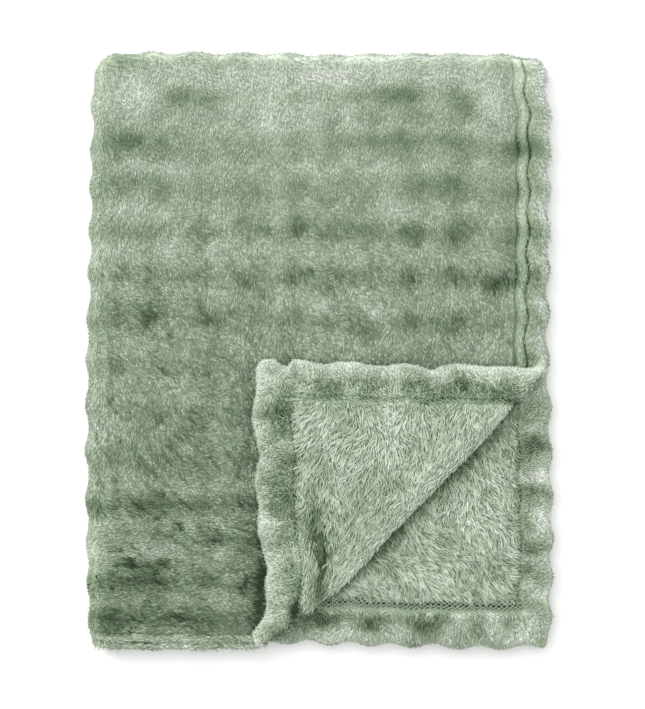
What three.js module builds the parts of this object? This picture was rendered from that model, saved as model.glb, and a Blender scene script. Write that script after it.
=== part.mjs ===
// Plush blanket of cot size, folded in quarters and lying flat, with one corner of its top layer
// turned back over the face. Millimetres, +Z up. +Y points to the folded top edge, the blanket's
// length was folded first and its width second, and the floor is at z = 0 under the middle.
//
// Every point of the cloth has a place on the flat cloth (s, t) and a side. s runs from the right
// hem of the top layer over the left fold, and t from its lower hem over the top fold.
import * as THREE from "three";

// The cloth: its size when laid flat, with its hems sewn
const CLOTH_WIDTH = 750;
const CLOTH_LENGTH = 980;
const THICKNESS = 8;
const LAYER_GAP = 0.8;
const CORNER_RADIUS = 8;

// Folds, as the radius of the middle of the cloth that bends
const LAYER_PITCH = THICKNESS + LAYER_GAP;
const TOP_FOLD_RADIUS = LAYER_PITCH / 2;
const LEFT_FOLD_RADIUS = LAYER_PITCH;
const TOP_FOLD_ROWS = 6;
const LEFT_FOLD_ROWS = 6;

// Corner turned back: its legs along both hems, and the soft roll of its fold
const FLAP_LEG = 235;
const FLAP_FOLD_RADIUS = 5;
const FLAP_FOLD_FULLNESS = 4.5;
const FLAP_FOLD_ROWS = 5;
const FLAP_CUT_CLOSEST = 1.1;

// Embossed bubbles of the face: columns are counted from the side hem and rows from the end hem,
// and their spacing wanders by a share of the pitch
const BUBBLE_COLUMNS = { first: 4, pitch: 35.7, wander: -0.084, wanderFrom: 39.7, wanderLength: 285 };
const BUBBLE_ROWS = { first: 25, pitch: 35.2, wander: 0.17, wanderFrom: 25, wanderLength: 387 };
const BUBBLE_DEPTH = 3.4;
const BUBBLE_RISE = { from: 3, over: 8 };
const SCALLOP = { height: 1.9, reach: 30, calmAt: 215, calmOver: 40, calmShare: 0.75 };

// Shares of each fold's half turn at which the relief has died away, and how softly it does
const RELIEF_END = { topFold: 0.8, topSoftness: 4, leftFold: 0.7, leftSoftness: 9, lowerFold: 6 };

// Hem: turned once to the back, pressed down by its stitching
const HEM_GROOVES = [
  { side: "face", fromEdge: 16, depth: 1.5, width: 3 },
  { side: "face", fromEdge: 25, depth: 1.7, width: 3 },
  { side: "back", fromEdge: 29, depth: 2.2, width: 4 },
];
const RIM_LINES = [0, 1.6];
const HEM_LINES = [9, 16, 20.5, 25, 29];
const THINNEST_HALF = 1.5;

// How the folded edges sway from straight, from the top edge down and from the left edge across
const SIDE_SWAY = [
  { up: 245, left: 0.8, right: -3.4 },
  { up: 222, left: 1, right: -1.2 },
  { up: 195, left: 1.2, right: 2.2 },
  { up: 140, left: 0, right: 2 },
  { up: 60, left: -1.3, right: 1 },
  { up: 0, left: -2.8, right: 0.6 },
  { up: -60, left: -3.4, right: 2.8 },
  { up: -120, left: -3.6, right: 3.8 },
  { up: -165, left: -2.8, right: 4 },
  { up: -205, left: -2, right: 3 },
  { up: -245, left: -1, right: 2 },
];
const END_SWAY = [
  { across: -190, top: 0.6, bottom: -1.6 },
  { across: -150, top: 2.2, bottom: -3 },
  { across: -110, top: 2, bottom: -2.8 },
  { across: -60, top: 1.2, bottom: -1.4 },
  { across: -15, top: 0.2, bottom: -0.6 },
  { across: 20, top: -0.8, bottom: -2 },
  { across: 80, top: 0.4, bottom: -3.8 },
  { across: 130, top: -0.2, bottom: -5.6 },
  { across: 190, top: -1, bottom: -4.8 },
];
const LOWER_LAYERS_SLIP = { right: 2.4, up: 3.2, over: 200 };
const ROUND_CORNERS = [
  { right: -1, up: 1, pull: 3.6, reach: 17 },
  { right: 1, up: 1, pull: 2.0, reach: 14 },
  { right: -1, up: -1, pull: 1.0, reach: 12 },
];

// Crests of the outline along the left and the upper fold. Those of the lower layers lie further
// right.
const LEFT_CRESTS = [205, 168, 137, 100, 66, 26, -6, -43, -81, -124, -162, -194, -228];
const TOP_CRESTS = [-172, -138, -105, -67, -30, 8, 39, 76, 113, 151];
const FOLD_CREST = { height: 2.3, width: 10, reach: 15, slip: 8, slipOver: 60 };

// The flap's two free edges sway too, from its tip to the fold: + is away from the flap
const FLAP_SWAY = [
  { fromTip: 0, left: 3.5, upper: 3 },
  { fromTip: 60, left: 5, upper: 2.2 },
  { fromTip: 140, left: 0, upper: 1.4 },
  { fromTip: 200, left: -6, upper: 2.6 },
  { fromTip: 240, left: -3, upper: -1 },
];
const FLAP_SWAY_REACH = 60;

// The crease bows out over the lower layer near its lower end. Along is s - t on the flat cloth.
const CREASE_SWAY = [
  { along: -235, out: -2 },
  { along: -60, out: 0 },
  { along: 30, out: 2 },
  { along: 90, out: 5 },
  { along: 150, out: 8 },
  { along: 205, out: 4 },
  { along: 235, out: 0 },
];
const CREASE_REACH = 40;

// Pleat inside its left hem with a hollow at the pleat's end, and how that hem swings to the right
// and then out to the left where it meets the fold
const FLAP_HOLLOWS = [
  { s: 160, t: 45, down: 30, across: 8, depth: 2.8 },
  { s: 197, t: 24, down: 11, across: 8, depth: 2.6 },
];
const FLAP_END = [
  { s: 198, right: 4, reach: 14 },
  { s: 230, right: -10, reach: 13 },
];
const FLAP_END_REACH = 30;

// Heights: slow waves over the stack, as a share of the height, and the open sides lie lower
const WAVE_SHARE = 0.025;
const WAVES = [
  { across: 47, up: Infinity, start: 0, bend: 1.1, bendLength: 83 },
  { across: -120, up: 58, start: 0.9, bend: 0, bendLength: 83 },
];
const EDGE_SINK = { share: 0.13, reach: 38 };

// Longest side of a facet where it shows and where it is hidden
const FINE = 18.5;
const HIDDEN = 62;
const UNDER_FLAP_MARGIN = 14;
const LINE_SPACING = 9;
const LINE_STEP = 0.1;

const SAGE = 0x8f9f84;

const halfWidth = CLOTH_WIDTH / 2;
const halfLength = CLOTH_LENGTH / 2;
const topFoldStart = halfLength - (Math.PI * TOP_FOLD_RADIUS) / 2;
const leftFoldStart = halfWidth - (Math.PI * LEFT_FOLD_RADIUS) / 2;
const flapFoldLength = Math.PI * FLAP_FOLD_RADIUS;
const stackMiddle = LEFT_FOLD_RADIUS + TOP_FOLD_RADIUS + THICKNESS / 2;
const foldedWidth = leftFoldStart + stackMiddle;
const foldedLength = topFoldStart + TOP_FOLD_RADIUS + THICKNESS / 2;

const clamp = (x, low, high) => Math.min(Math.max(x, low), high);
const smooth = (x) => {
  const u = clamp(x, 0, 1);
  return u * u * (3 - 2 * u);
};
const bell = (x, width) => Math.exp(-((x / width) ** 2));

// Reads one column of a table of rows that are sorted by their first column, with soft bends.
function fromTable(rows, key, column, x) {
  const sign = Math.sign(rows[rows.length - 1][key] - rows[0][key]);
  const next = rows.findIndex((row) => sign * (row[key] - x) > 0);
  if (next === 0) return rows[0][column];
  if (next < 0) return rows[rows.length - 1][column];
  const [a, b] = [rows[next - 1], rows[next]];
  return a[column] + (b[column] - a[column]) * smooth((x - a[key]) / (b[key] - a[key]));
}

// Distance to the nearest hem, on the flat cloth.
function fromHem(s, t) {
  return Math.min(s, t, CLOTH_WIDTH - s, CLOTH_LENGTH - t);
}

// Count of bubbles from the hem to a place, whole on a bubble's middle. It is the same from both
// hems of the cloth.
function bubbleCount(lattice, size, at) {
  const near = Math.min(at, size - at);
  const turn = (2 * Math.PI * (near - lattice.wanderFrom)) / lattice.wanderLength;
  return (near - lattice.first) / lattice.pitch + lattice.wander * Math.sin(turn);
}

// Wave along a hem or fold: 1 on a bubble's middle and -1 in the seam between two.
function bubbleWave(lattice, size, at) {
  return Math.cos(2 * Math.PI * bubbleCount(lattice, size, at));
}

// Bubbles: 1 on a bubble's middle and 0 where four of them meet.
function bubble(s, t) {
  const column = bubbleWave(BUBBLE_COLUMNS, CLOTH_WIDTH, s);
  const row = bubbleWave(BUBBLE_ROWS, CLOTH_LENGTH, t);
  return (2 + column + row) / 4;
}

// The relief is full on the top layer and round both folds, and pressed flat between the layers
// and on the floor.
function reliefShare(s, t) {
  const topEnd = topFoldStart + RELIEF_END.topFold * Math.PI * TOP_FOLD_RADIUS;
  const leftEnd = leftFoldStart + RELIEF_END.leftFold * Math.PI * LEFT_FOLD_RADIUS;
  const roundTop = smooth((topEnd - t) / RELIEF_END.topSoftness);
  const roundLeft = smooth((leftEnd - s) / RELIEF_END.leftSoftness);
  return Math.max(roundTop * roundLeft, bell(t - halfLength, RELIEF_END.lowerFold) * (1 - roundLeft));
}

// Round rim of the hem, from the middle of its edge to its full thickness.
function rimShare(edge) {
  const rim = THICKNESS / 2;
  return edge >= rim ? 1 : Math.sqrt(1 - (1 - edge / rim) ** 2);
}

function hemGroove(side, edge) {
  return HEM_GROOVES.filter((groove) => groove.side === side).reduce(
    (sum, groove) => sum + groove.depth * bell(edge - groove.fromEdge, groove.width),
    0,
  );
}

// Soft hollows and a pleat on the turned-back corner.
function flapHollow(s, t) {
  return FLAP_HOLLOWS.reduce((sum, hollow) => {
    return sum + hollow.depth * bell(s - hollow.s, hollow.down) * bell(t - hollow.t, hollow.across);
  }, 0);
}

// How far the end of the turned-back corner's left hem swings to the right.
function flapEndSwing(s, t) {
  if (s > halfWidth || t > halfLength) return 0;
  const swing = FLAP_END.reduce((sum, end) => sum + end.right * bell(s - end.s, end.reach), 0);
  return swing * bell(t, FLAP_END_REACH);
}

// How far a point lies past the start of the turned-back fold, towards the corner.
function pastFlapFold(s, t) {
  return (FLAP_LEG - s - t) / Math.SQRT2 + flapFoldLength / 2;
}

// The long pile of the back stands up round the outside of the turned-back fold.
function flapFoldFullness(s, t) {
  const share = clamp(pastFlapFold(s, t) / flapFoldLength, 0, 1);
  return FLAP_FOLD_FULLNESS * Math.sin(Math.PI * share) ** 2 * smooth(2 * share);
}

// Height of a side above the middle of the cloth, + on the face and - on the back.
function offset(s, t, side) {
  const edge = fromHem(s, t);
  const onTop = s < halfWidth && t < halfLength;
  const isSecond = s < halfWidth && t > halfLength;
  let height = THICKNESS / 2;
  if (side > 0) {
    const rise = smooth((edge - BUBBLE_RISE.from) / BUBBLE_RISE.over);
    height -= BUBBLE_DEPTH * reliefShare(s, t) * (1 - bubble(s, t)) * rise;
    if (onTop) height -= hemGroove("face", edge);
  } else {
    if (onTop || isSecond) height -= hemGroove("back", edge);
    if (onTop) height += flapFoldFullness(s, t) - flapHollow(s, t);
  }
  return side * Math.max(height, THINNEST_HALF) * rimShare(edge);
}

// Scallops where the bubbles meet a hem, weaker towards the left fold, and the rounded corners of
// the cloth.
function shapeHem(s, t) {
  const { height, reach, calmAt, calmOver, calmShare } = SCALLOP;
  const calm = calmShare * smooth((Math.min(s, CLOTH_WIDTH - s) - calmAt) / calmOver);
  const column = height * (1 - calm) * bubbleWave(BUBBLE_COLUMNS, CLOTH_WIDTH, s);
  const row = height * bubbleWave(BUBBLE_ROWS, CLOTH_LENGTH, t);
  let ds = row * (bell(CLOTH_WIDTH - s, reach) - bell(s, reach));
  let dt = column * (bell(CLOTH_LENGTH - t, reach) - bell(t, reach));
  const a = Math.max(CORNER_RADIUS - Math.min(s, CLOTH_WIDTH - s), 0);
  const b = Math.max(CORNER_RADIUS - Math.min(t, CLOTH_LENGTH - t), 0);
  if (a > 0 && b > 0) {
    const round = Math.max(a, b) / Math.hypot(a, b) - 1;
    ds += s < halfWidth ? -a * round : a * round;
    dt += t < halfLength ? -b * round : b * round;
  }
  return { s: s + ds, t: t + dt };
}

// Corner turned back: the cloth rolls up through half a circle and lies back on itself.
function turnCorner(s, t) {
  const past = pastFlapFold(s, t);
  if (past <= 0) return { s, t, lift: 0, lean: 0, up: 1, turned: 0 };
  const angle = Math.min(past / FLAP_FOLD_RADIUS, Math.PI);
  const beyond = Math.max(past - flapFoldLength, 0);
  const shift = (past - FLAP_FOLD_RADIUS * Math.sin(angle) + beyond) / Math.SQRT2;
  return {
    s: s + shift,
    t: t + shift,
    lift: FLAP_FOLD_RADIUS * (1 - Math.cos(angle)),
    lean: Math.sin(angle) / Math.SQRT2,
    up: Math.cos(angle),
    turned: beyond,
  };
}

// First fold: the far half of the length goes under, round the top edge.
function foldTop(t) {
  const angle = clamp((t - topFoldStart) / TOP_FOLD_RADIUS, 0, Math.PI);
  if (angle === Math.PI) return { y: CLOTH_LENGTH - t, w: -TOP_FOLD_RADIUS, ny: 0, nw: -1 };
  return {
    y: Math.min(t, topFoldStart) + TOP_FOLD_RADIUS * Math.sin(angle),
    w: TOP_FOLD_RADIUS * Math.cos(angle),
    ny: Math.sin(angle),
    nw: Math.cos(angle),
  };
}

// Second fold: the doubled cloth goes under, round the left edge. w is the height above the
// middle of the doubled cloth.
function foldLeft(s, w) {
  const angle = clamp((s - leftFoldStart) / LEFT_FOLD_RADIUS, 0, Math.PI);
  const radius = LEFT_FOLD_RADIUS + w;
  const under = angle === Math.PI;
  return {
    x: under ? s - CLOTH_WIDTH : -Math.min(s, leftFoldStart) - radius * Math.sin(angle),
    z: stackMiddle + radius * Math.cos(angle),
  };
}

// How far the folds are pushed out at the crests of the outline.
function foldCrest(x, y, s) {
  const { height, width, reach, slip, slipOver } = FOLD_CREST;
  const right = x - slip * smooth((s - halfWidth) / slipOver);
  const alongLeft = LEFT_CRESTS.reduce((sum, crest) => sum + bell(y - crest, width), 0);
  const alongTop = TOP_CRESTS.reduce((sum, crest) => sum + bell(right - crest, width), 0);
  return {
    left: height * alongLeft * bell(x + foldedWidth / 2, reach),
    up: height * alongTop * bell(y - foldedLength / 2, reach),
  };
}

// How far the crease of the turned-back corner and the cloth beside it are pushed out.
function creaseSway(s, t) {
  if (s > halfWidth || t > halfLength) return 0;
  const fromCrease = pastFlapFold(s, t) - flapFoldLength / 2;
  return fromTable(CREASE_SWAY, "along", "out", s - t) * bell(fromCrease, CREASE_REACH);
}

// The layers under the top one lie a little to the right and up.
function slip(s, t) {
  const { over } = LOWER_LAYERS_SLIP;
  if (s > halfWidth) return smooth((s - halfWidth) / over);
  return smooth((t - halfLength) / over) * smooth((halfWidth - s) / over);
}

// Uneven outline, rounded corners and soft heights of the whole stack.
function settle(x, y, z) {
  const left = fromTable(SIDE_SWAY, "up", "left", y);
  const right = fromTable(SIDE_SWAY, "up", "right", y);
  const top = fromTable(END_SWAY, "across", "top", x);
  const bottom = fromTable(END_SWAY, "across", "bottom", x);
  const across = clamp(x / foldedWidth + 0.5, 0, 1);
  const up = clamp(y / foldedLength + 0.5, 0, 1);
  let dx = left + (right - left) * across;
  let dy = bottom + (top - bottom) * up;
  for (const corner of ROUND_CORNERS) {
    const fromSide = foldedWidth / 2 - corner.right * x;
    const fromEnd = foldedLength / 2 - corner.up * y;
    const near = bell(Math.max(fromSide, 0), corner.reach) * bell(Math.max(fromEnd, 0), corner.reach);
    dx -= corner.right * corner.pull * near;
    dy -= corner.up * corner.pull * near;
  }
  const wave = WAVES.reduce((sum, { across: a, up: b, start, bend, bendLength }) => {
    return sum + Math.sin(x / a + y / b + start + bend * Math.sin(y / bendLength));
  }, 0);
  const fromOpenSides = Math.max(Math.min(foldedWidth / 2 - x, foldedLength / 2 + y), 0);
  const sink = EDGE_SINK.share * bell(fromOpenSides, EDGE_SINK.reach);
  return [x + dx, y + dy, z * (1 + WAVE_SHARE * wave - sink)];
}

// Place of a point of the cloth on one of its sides, in the folded blanket.
function place(s, t, side) {
  const height = offset(s, t, side);
  const hem = shapeHem(s, t);
  const flap = turnCorner(hem.s, hem.t);
  const top = foldTop(flap.t);
  const slide = height * flap.lean;
  const left = foldLeft(flap.s + slide, top.w + flap.lift + height * flap.up * top.nw);
  let x = left.x + foldedWidth / 2 + flapEndSwing(s, t);
  let y = top.y + slide + height * flap.up * top.ny - foldedLength / 2;
  const crest = foldCrest(x, y, s);
  const sway = creaseSway(s, t) / Math.SQRT2;
  x += sway - crest.left;
  y += crest.up - sway;
  const share = slip(s, t);
  x += share * LOWER_LAYERS_SLIP.right;
  y += share * LOWER_LAYERS_SLIP.up;
  if (flap.turned > 0) {
    const away = smooth(flap.turned / FLAP_SWAY_REACH);
    x -= away * bell(t, FLAP_SWAY_REACH) * fromTable(FLAP_SWAY, "fromTip", "left", s);
    y += away * bell(s, FLAP_SWAY_REACH) * fromTable(FLAP_SWAY, "fromTip", "upper", t);
  }
  return settle(x, y, left.z);
}

const NONE = -1;
const TINY = 1e-4;
const SLANT_SHARE = 0.6;
const WORTH_TURNING = 0.9;

// Net of the two sides of the flat cloth, which share the points of the hem's edge.
class Net {
  points = [];
  faces = [];
  known = new Map();

  point(s, t, side) {
    const onEdge = fromHem(s, t) < TINY;
    const key = [s.toFixed(5), t.toFixed(5), onEdge ? 0 : side].join(" ");
    if (!this.known.has(key)) {
      this.known.set(key, this.points.length);
      this.points.push({ s, t, side: onEdge ? 0 : side });
    }
    return this.known.get(key);
  }

  // The point between two others, at a share of the way.
  between(i, j, share, side) {
    const [a, b] = [this.points[i], this.points[j]];
    return this.point(a.s + (b.s - a.s) * share, a.t + (b.t - a.t) * share, side);
  }

  length(i, j) {
    const [a, b] = [this.points[i], this.points[j]];
    return Math.hypot(a.s - b.s, a.t - b.t);
  }

  addSide(sLines, tLines, side) {
    for (let i = 0; i + 1 < sLines.length; i += 1) {
      for (let j = 0; j + 1 < tLines.length; j += 1) {
        const a = this.point(sLines[i], tLines[j], side);
        const b = this.point(sLines[i + 1], tLines[j], side);
        const c = this.point(sLines[i + 1], tLines[j + 1], side);
        const d = this.point(sLines[i], tLines[j + 1], side);
        const fromCorner = sLines[i] < halfWidth === tLines[j] < halfLength;
        const pair = fromCorner ? [[a, b, c], [a, c, d]] : [[a, b, d], [b, c, d]];
        this.faces.push(...pair.map((corners) => ({ corners, side })));
      }
    }
  }

  // Cuts the net along the line where measure is zero, and leaves out cuts close to a point.
  slice(measure, closest) {
    const cut = [];
    for (const { corners, side } of this.faces) {
      const signs = corners.map((i) => {
        const m = measure(this.points[i]);
        return Math.abs(m) < closest ? 0 : Math.sign(m);
      });
      const crossing = (i, j) => {
        const [low, high] = i < j ? [i, j] : [j, i];
        const [m, n] = [measure(this.points[low]), measure(this.points[high])];
        return this.between(low, high, m / (m - n), side);
      };
      const lone = signs.findIndex((sign, k) => {
        const others = [signs[(k + 1) % 3], signs[(k + 2) % 3]];
        return sign !== 0 && others.every((other) => other !== sign) && others.includes(-sign);
      });
      if (lone < 0) {
        cut.push({ corners, side });
        continue;
      }
      const [a, b, c] = [corners[lone], corners[(lone + 1) % 3], corners[(lone + 2) % 3]];
      const [signB, signC] = [signs[(lone + 1) % 3], signs[(lone + 2) % 3]];
      const ab = signB === 0 ? b : crossing(a, b);
      const ac = signC === 0 ? c : crossing(a, c);
      cut.push({ corners: [a, ab, ac], side });
      if (ab !== b) cut.push({ corners: [ab, b, c], side });
      if (ac !== c) cut.push({ corners: [ab, c, ac], side });
    }
    this.faces = cut;
  }

  sideKey(corners, k) {
    const [i, j] = [corners[k], corners[(k + 1) % 3]];
    return `${Math.min(i, j)} ${Math.max(i, j)}`;
  }

  // A side is halved when it is too long along the cloth, and a slanting one only in a wide cell.
  isTooLong(i, j, side, longestAt) {
    const [a, b] = [this.points[i], this.points[j]];
    const limit = longestAt({ s: (a.s + b.s) / 2, t: (a.t + b.t) / 2 }, side);
    const [short, long] = [Math.abs(a.s - b.s), Math.abs(a.t - b.t)].sort((x, y) => x - y);
    return short < TINY ? long > limit : short > SLANT_SHARE * limit;
  }

  // Halves every side that is too long, again and again, and fills each face anew.
  refine(longestAt) {
    for (;;) {
      const middles = new Map();
      for (const { corners, side } of this.faces) {
        corners.forEach((i, k) => {
          const [key, j] = [this.sideKey(corners, k), corners[(k + 1) % 3]];
          if (middles.has(key)) return;
          const long = this.isTooLong(i, j, side, longestAt);
          middles.set(key, long ? this.between(i, j, 0.5, side) : NONE);
        });
      }
      if ([...middles.values()].every((middle) => middle === NONE)) return;
      this.faces = this.faces.flatMap((face) => this.fill(face, middles));
    }
  }

  fill(face, middles) {
    const { corners, side } = face;
    const halves = corners.map((_, k) => middles.get(this.sideKey(corners, k)));
    const count = halves.filter((half) => half !== NONE).length;
    if (count === 0) return [face];
    const startsHalved = (half, k) => half !== NONE && halves[(k + 2) % 3] === NONE;
    const first = count === 3 ? 0 : halves.findIndex(startsHalved);
    const [a, b, c] = [0, 1, 2].map((k) => corners[(first + k) % 3]);
    const [ab, bc, ca] = [0, 1, 2].map((k) => halves[(first + k) % 3]);
    let filled = [[a, ab, c], [ab, b, c]];
    if (count === 2) {
      const shorter = this.length(ab, c) < this.length(a, bc);
      filled = shorter ? [[a, ab, c], [ab, bc, c]] : [[a, ab, bc], [a, bc, c]];
      filled.push([ab, b, bc]);
    }
    if (count === 3) filled = [[a, ab, ca], [ab, b, bc], [ca, bc, c], [ab, bc, ca]];
    return filled.map((points) => ({ corners: points, side }));
  }

  // Twice the area of a triangle of the flat cloth, with its sign.
  area(i, j, k) {
    const [a, b, c] = [this.points[i], this.points[j], this.points[k]];
    return (b.s - a.s) * (c.t - a.t) - (c.s - a.s) * (b.t - a.t);
  }

  // The lines of hems and folds run along the cloth, and those of the turned corner across both.
  isOnLine(i, j) {
    const [ds, dt] = [this.points[i].s - this.points[j].s, this.points[i].t - this.points[j].t];
    return Math.min(Math.abs(ds), Math.abs(dt), Math.abs(ds + dt)) < TINY;
  }

  // Turns a side to the other diagonal of its two faces where that one is shorter.
  turnLongSides() {
    const neighbours = new Map();
    this.faces.forEach((face) => {
      face.corners.forEach((_, k) => {
        const key = this.sideKey(face.corners, k);
        neighbours.set(key, [...(neighbours.get(key) ?? []), { face, k }]);
      });
    });
    const moved = new Set();
    for (const [{ face, k }, { face: other, k: l }] of neighbours.values()) {
      const [a, b, c] = [0, 1, 2].map((turn) => face.corners[(k + turn) % 3]);
      const d = other.corners[(l + 2) % 3];
      if (face.side !== other.side || moved.has(face) || moved.has(other) || this.isOnLine(a, b)) continue;
      const facing = Math.sign(this.area(a, b, c));
      const smallest = Math.min(facing * this.area(a, d, c), facing * this.area(d, b, c));
      if (this.length(c, d) > WORTH_TURNING * this.length(a, b) || smallest < 1) continue;
      face.corners = [a, d, c];
      other.corners = [d, b, c];
      moved.add(face);
      moved.add(other);
    }
    return moved.size;
  }
}

// Places of the net's lines along one size of the cloth: rim and hem, bubble middles, the rows of
// the fold, and the same again on the far half.
function gridLines(size, lattice, foldStart, foldRows) {
  const hem = [...RIM_LINES, ...HEM_LINES];
  const first = hem[hem.length - 1] + LINE_SPACING;
  const bubbles = [];
  for (let at = first; at < foldStart - LINE_SPACING; at += LINE_STEP) {
    const [here, next] = [at, at + LINE_STEP].map((place) => Math.floor(bubbleCount(lattice, size, place)));
    if (next > here) bubbles.push(at);
  }
  const rowHeight = (size - 2 * foldStart) / foldRows;
  const fold = Array.from({ length: foldRows / 2 }, (_, row) => foldStart + row * rowHeight);
  const near = [...hem, ...bubbles, ...fold];
  return [...near, size / 2, ...near.map((line) => size - line).reverse()];
}

// Longest side that a face may have, by what shows of the folded blanket.
function longestAt({ s, t }, side) {
  const past = pastFlapFold(s, t);
  const topFoldEnd = CLOTH_LENGTH - topFoldStart;
  const onTop = s < CLOTH_WIDTH - leftFoldStart && t < topFoldEnd;
  const underFlap = past < 0 && Math.max(s, t) < FLAP_LEG - UNDER_FLAP_MARGIN;
  if (fromHem(s, t) < RIM_LINES[1]) return FINE;
  if (onTop && side > 0 && past < 0 && !underFlap) return FINE;
  if (onTop && side < 0 && past > 0) return FINE;
  if (side > 0 && t > topFoldStart && t < topFoldEnd) return FINE;
  return HIDDEN;
}

function blanketGeometry() {
  const net = new Net();
  const sLines = gridLines(CLOTH_WIDTH, BUBBLE_COLUMNS, leftFoldStart, LEFT_FOLD_ROWS);
  const tLines = gridLines(CLOTH_LENGTH, BUBBLE_ROWS, topFoldStart, TOP_FOLD_ROWS);
  net.addSide(sLines, tLines, 1);
  net.addSide(sLines, tLines, -1);
  for (let row = 0; row <= FLAP_FOLD_ROWS; row += 1) {
    const at = (flapFoldLength * row) / FLAP_FOLD_ROWS;
    net.slice(({ s, t }) => pastFlapFold(s, t) - at, FLAP_CUT_CLOSEST);
  }
  net.refine(longestAt);
  let turned = net.turnLongSides();
  while (turned > 0) turned = net.turnLongSides();

  const places = net.points.map(({ s, t, side }) => new THREE.Vector3(...place(s, t, side)));
  const box = new THREE.Box3().setFromPoints(places);
  const middle = box.getCenter(new THREE.Vector3()).setZ(box.min.z);
  const geometry = new THREE.BufferGeometry().setFromPoints(places.map((p) => p.sub(middle)));
  geometry.setIndex(net.faces.flatMap(({ corners: [a, b, c], side }) => (side < 0 ? [a, b, c] : [c, b, a])));
  geometry.computeVertexNormals();
  return geometry;
}

const plush = new THREE.MeshStandardMaterial({ color: SAGE, roughness: 0.95, metalness: 0 });
const blanket = new THREE.Mesh(blanketGeometry(), plush);
blanket.name = "blanket";

const part = new THREE.Group();
part.add(blanket);

export default part;
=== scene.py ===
# Plush blanket folded in quarters, with one corner of its top layer turned back. The cloth is one
# sheet on the folds of its solid, its pile is joined meshes of small locks, and its hems are sewn
# with thread. Sizes are in millimetres, and only what is made from them is in metres.
import math

import bpy
import numpy as np
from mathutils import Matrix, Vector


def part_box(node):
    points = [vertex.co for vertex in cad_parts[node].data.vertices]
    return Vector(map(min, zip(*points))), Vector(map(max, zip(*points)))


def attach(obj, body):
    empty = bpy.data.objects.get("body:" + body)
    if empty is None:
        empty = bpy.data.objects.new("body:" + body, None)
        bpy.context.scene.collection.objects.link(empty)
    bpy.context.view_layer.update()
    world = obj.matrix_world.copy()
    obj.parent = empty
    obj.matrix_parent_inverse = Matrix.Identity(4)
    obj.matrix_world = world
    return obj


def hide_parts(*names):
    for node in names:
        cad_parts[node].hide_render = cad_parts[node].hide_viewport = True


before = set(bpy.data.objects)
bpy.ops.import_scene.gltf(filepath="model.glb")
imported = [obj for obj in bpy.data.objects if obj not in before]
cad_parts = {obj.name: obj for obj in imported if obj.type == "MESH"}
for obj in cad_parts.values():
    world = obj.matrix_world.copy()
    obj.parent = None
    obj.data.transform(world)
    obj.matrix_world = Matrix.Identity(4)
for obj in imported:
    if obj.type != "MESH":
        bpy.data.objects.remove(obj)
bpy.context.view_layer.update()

rng = np.random.default_rng(11)
MM = 0.001


def table(columns, rows):
    """Rows of values, each as a dictionary under the names of its columns."""
    return [dict(zip(columns.split(), row)) for row in rows]


# The picture: seen from straight above through a long lens
PICTURE_WIDTH = 645
PICTURE_HEIGHT = 709
PIXEL = 0.8333
MIDDLE_PIXEL = (319.5, 350.5)
FACE_HEIGHT = 18
LENS = 110
SENSOR = 36

# The studio, in metres and watts
LIGHTS = table("name at size power", [
    ("overhead_light", (-0.3, 0.5, 2.6), 2.2, 54),
    ("side_light", (-1.6, 1.3, 1.5), 1.0, 24),
])
ROOM_LIGHT = 0.6
FLOOR = {"half": 3, "below": 0.0003}

# The cloth, as in its solid: s runs from the right hem of the top layer over the left fold, and t
# from its lower hem over the top fold
CLOTH_WIDTH = 750
CLOTH_LENGTH = 980
THICKNESS = 8
LAYER_GAP = 0.8
CORNER_RADIUS = 8
LAYER_PITCH = THICKNESS + LAYER_GAP
TOP_FOLD_RADIUS = LAYER_PITCH / 2
LEFT_FOLD_RADIUS = LAYER_PITCH

# The ground of the cloth is thinner than the solid where pile stands on it, so not on the floor
GROUND_HALF = 2.9
THINNEST_HALF = 0.8
ON_FLOOR = {"past_fold": 8, "fade": 14}
RIM_INSET = {"depth": 1.0, "reach": 9}

FLAP_LEG = 235
FLAP_FOLD_RADIUS = 5
FLAP_FOLD_FULLNESS = 3.0
CREASE_SHADE = {"from": 4, "reach": 5, "darker": 0.36}

BUBBLE_COLUMNS = {"first": 4, "pitch": 35.7, "wander": -0.084, "from": 39.7, "length": 285}
BUBBLE_ROWS = {"first": 25, "pitch": 35.2, "wander": 0.17, "from": 25, "length": 387}
BUBBLE_DEPTH = 3.4
STRIP_BUBBLE_DEPTH = 1.6
SCALLOP = {"height": 1.9, "reach": 30, "calm_at": 215, "calm_over": 40, "calm_share": 0.75}

# The bubbles are full this far round the two folds, and there is a row on the fold of the layers
# under the top one
RELIEF = {"round_top": 0.8, "top_fade": 4, "round_left": 0.7, "left_fade": 9, "lower_row": 6}

# Seams of the hems: their distance from the edge, and how deep they draw the cloth in
SEAMS = table("hem face at depth width", [
    ("side", True, 16.2, 2.2, 2.2),
    ("side", True, 25.2, 2.2, 2.2),
    ("end", True, 5.6, 1.6, 2.4),
    ("end", True, 13.0, 2.0, 2.4),
    ("side", False, 28.5, 2.6, 2.6),
    ("end", False, 31.0, 2.2, 2.8),
    ("lower end", False, 34.0, 1.8, 4.2),
])
SEAMS_PAST_FOLD = 12
SIDE_HEM = 28.5
END_HEM = 31.0
LOWER_END_HEM = 35.5
CLEAR_BAND = {"above": 5.8, "below": 5.6}

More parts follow.
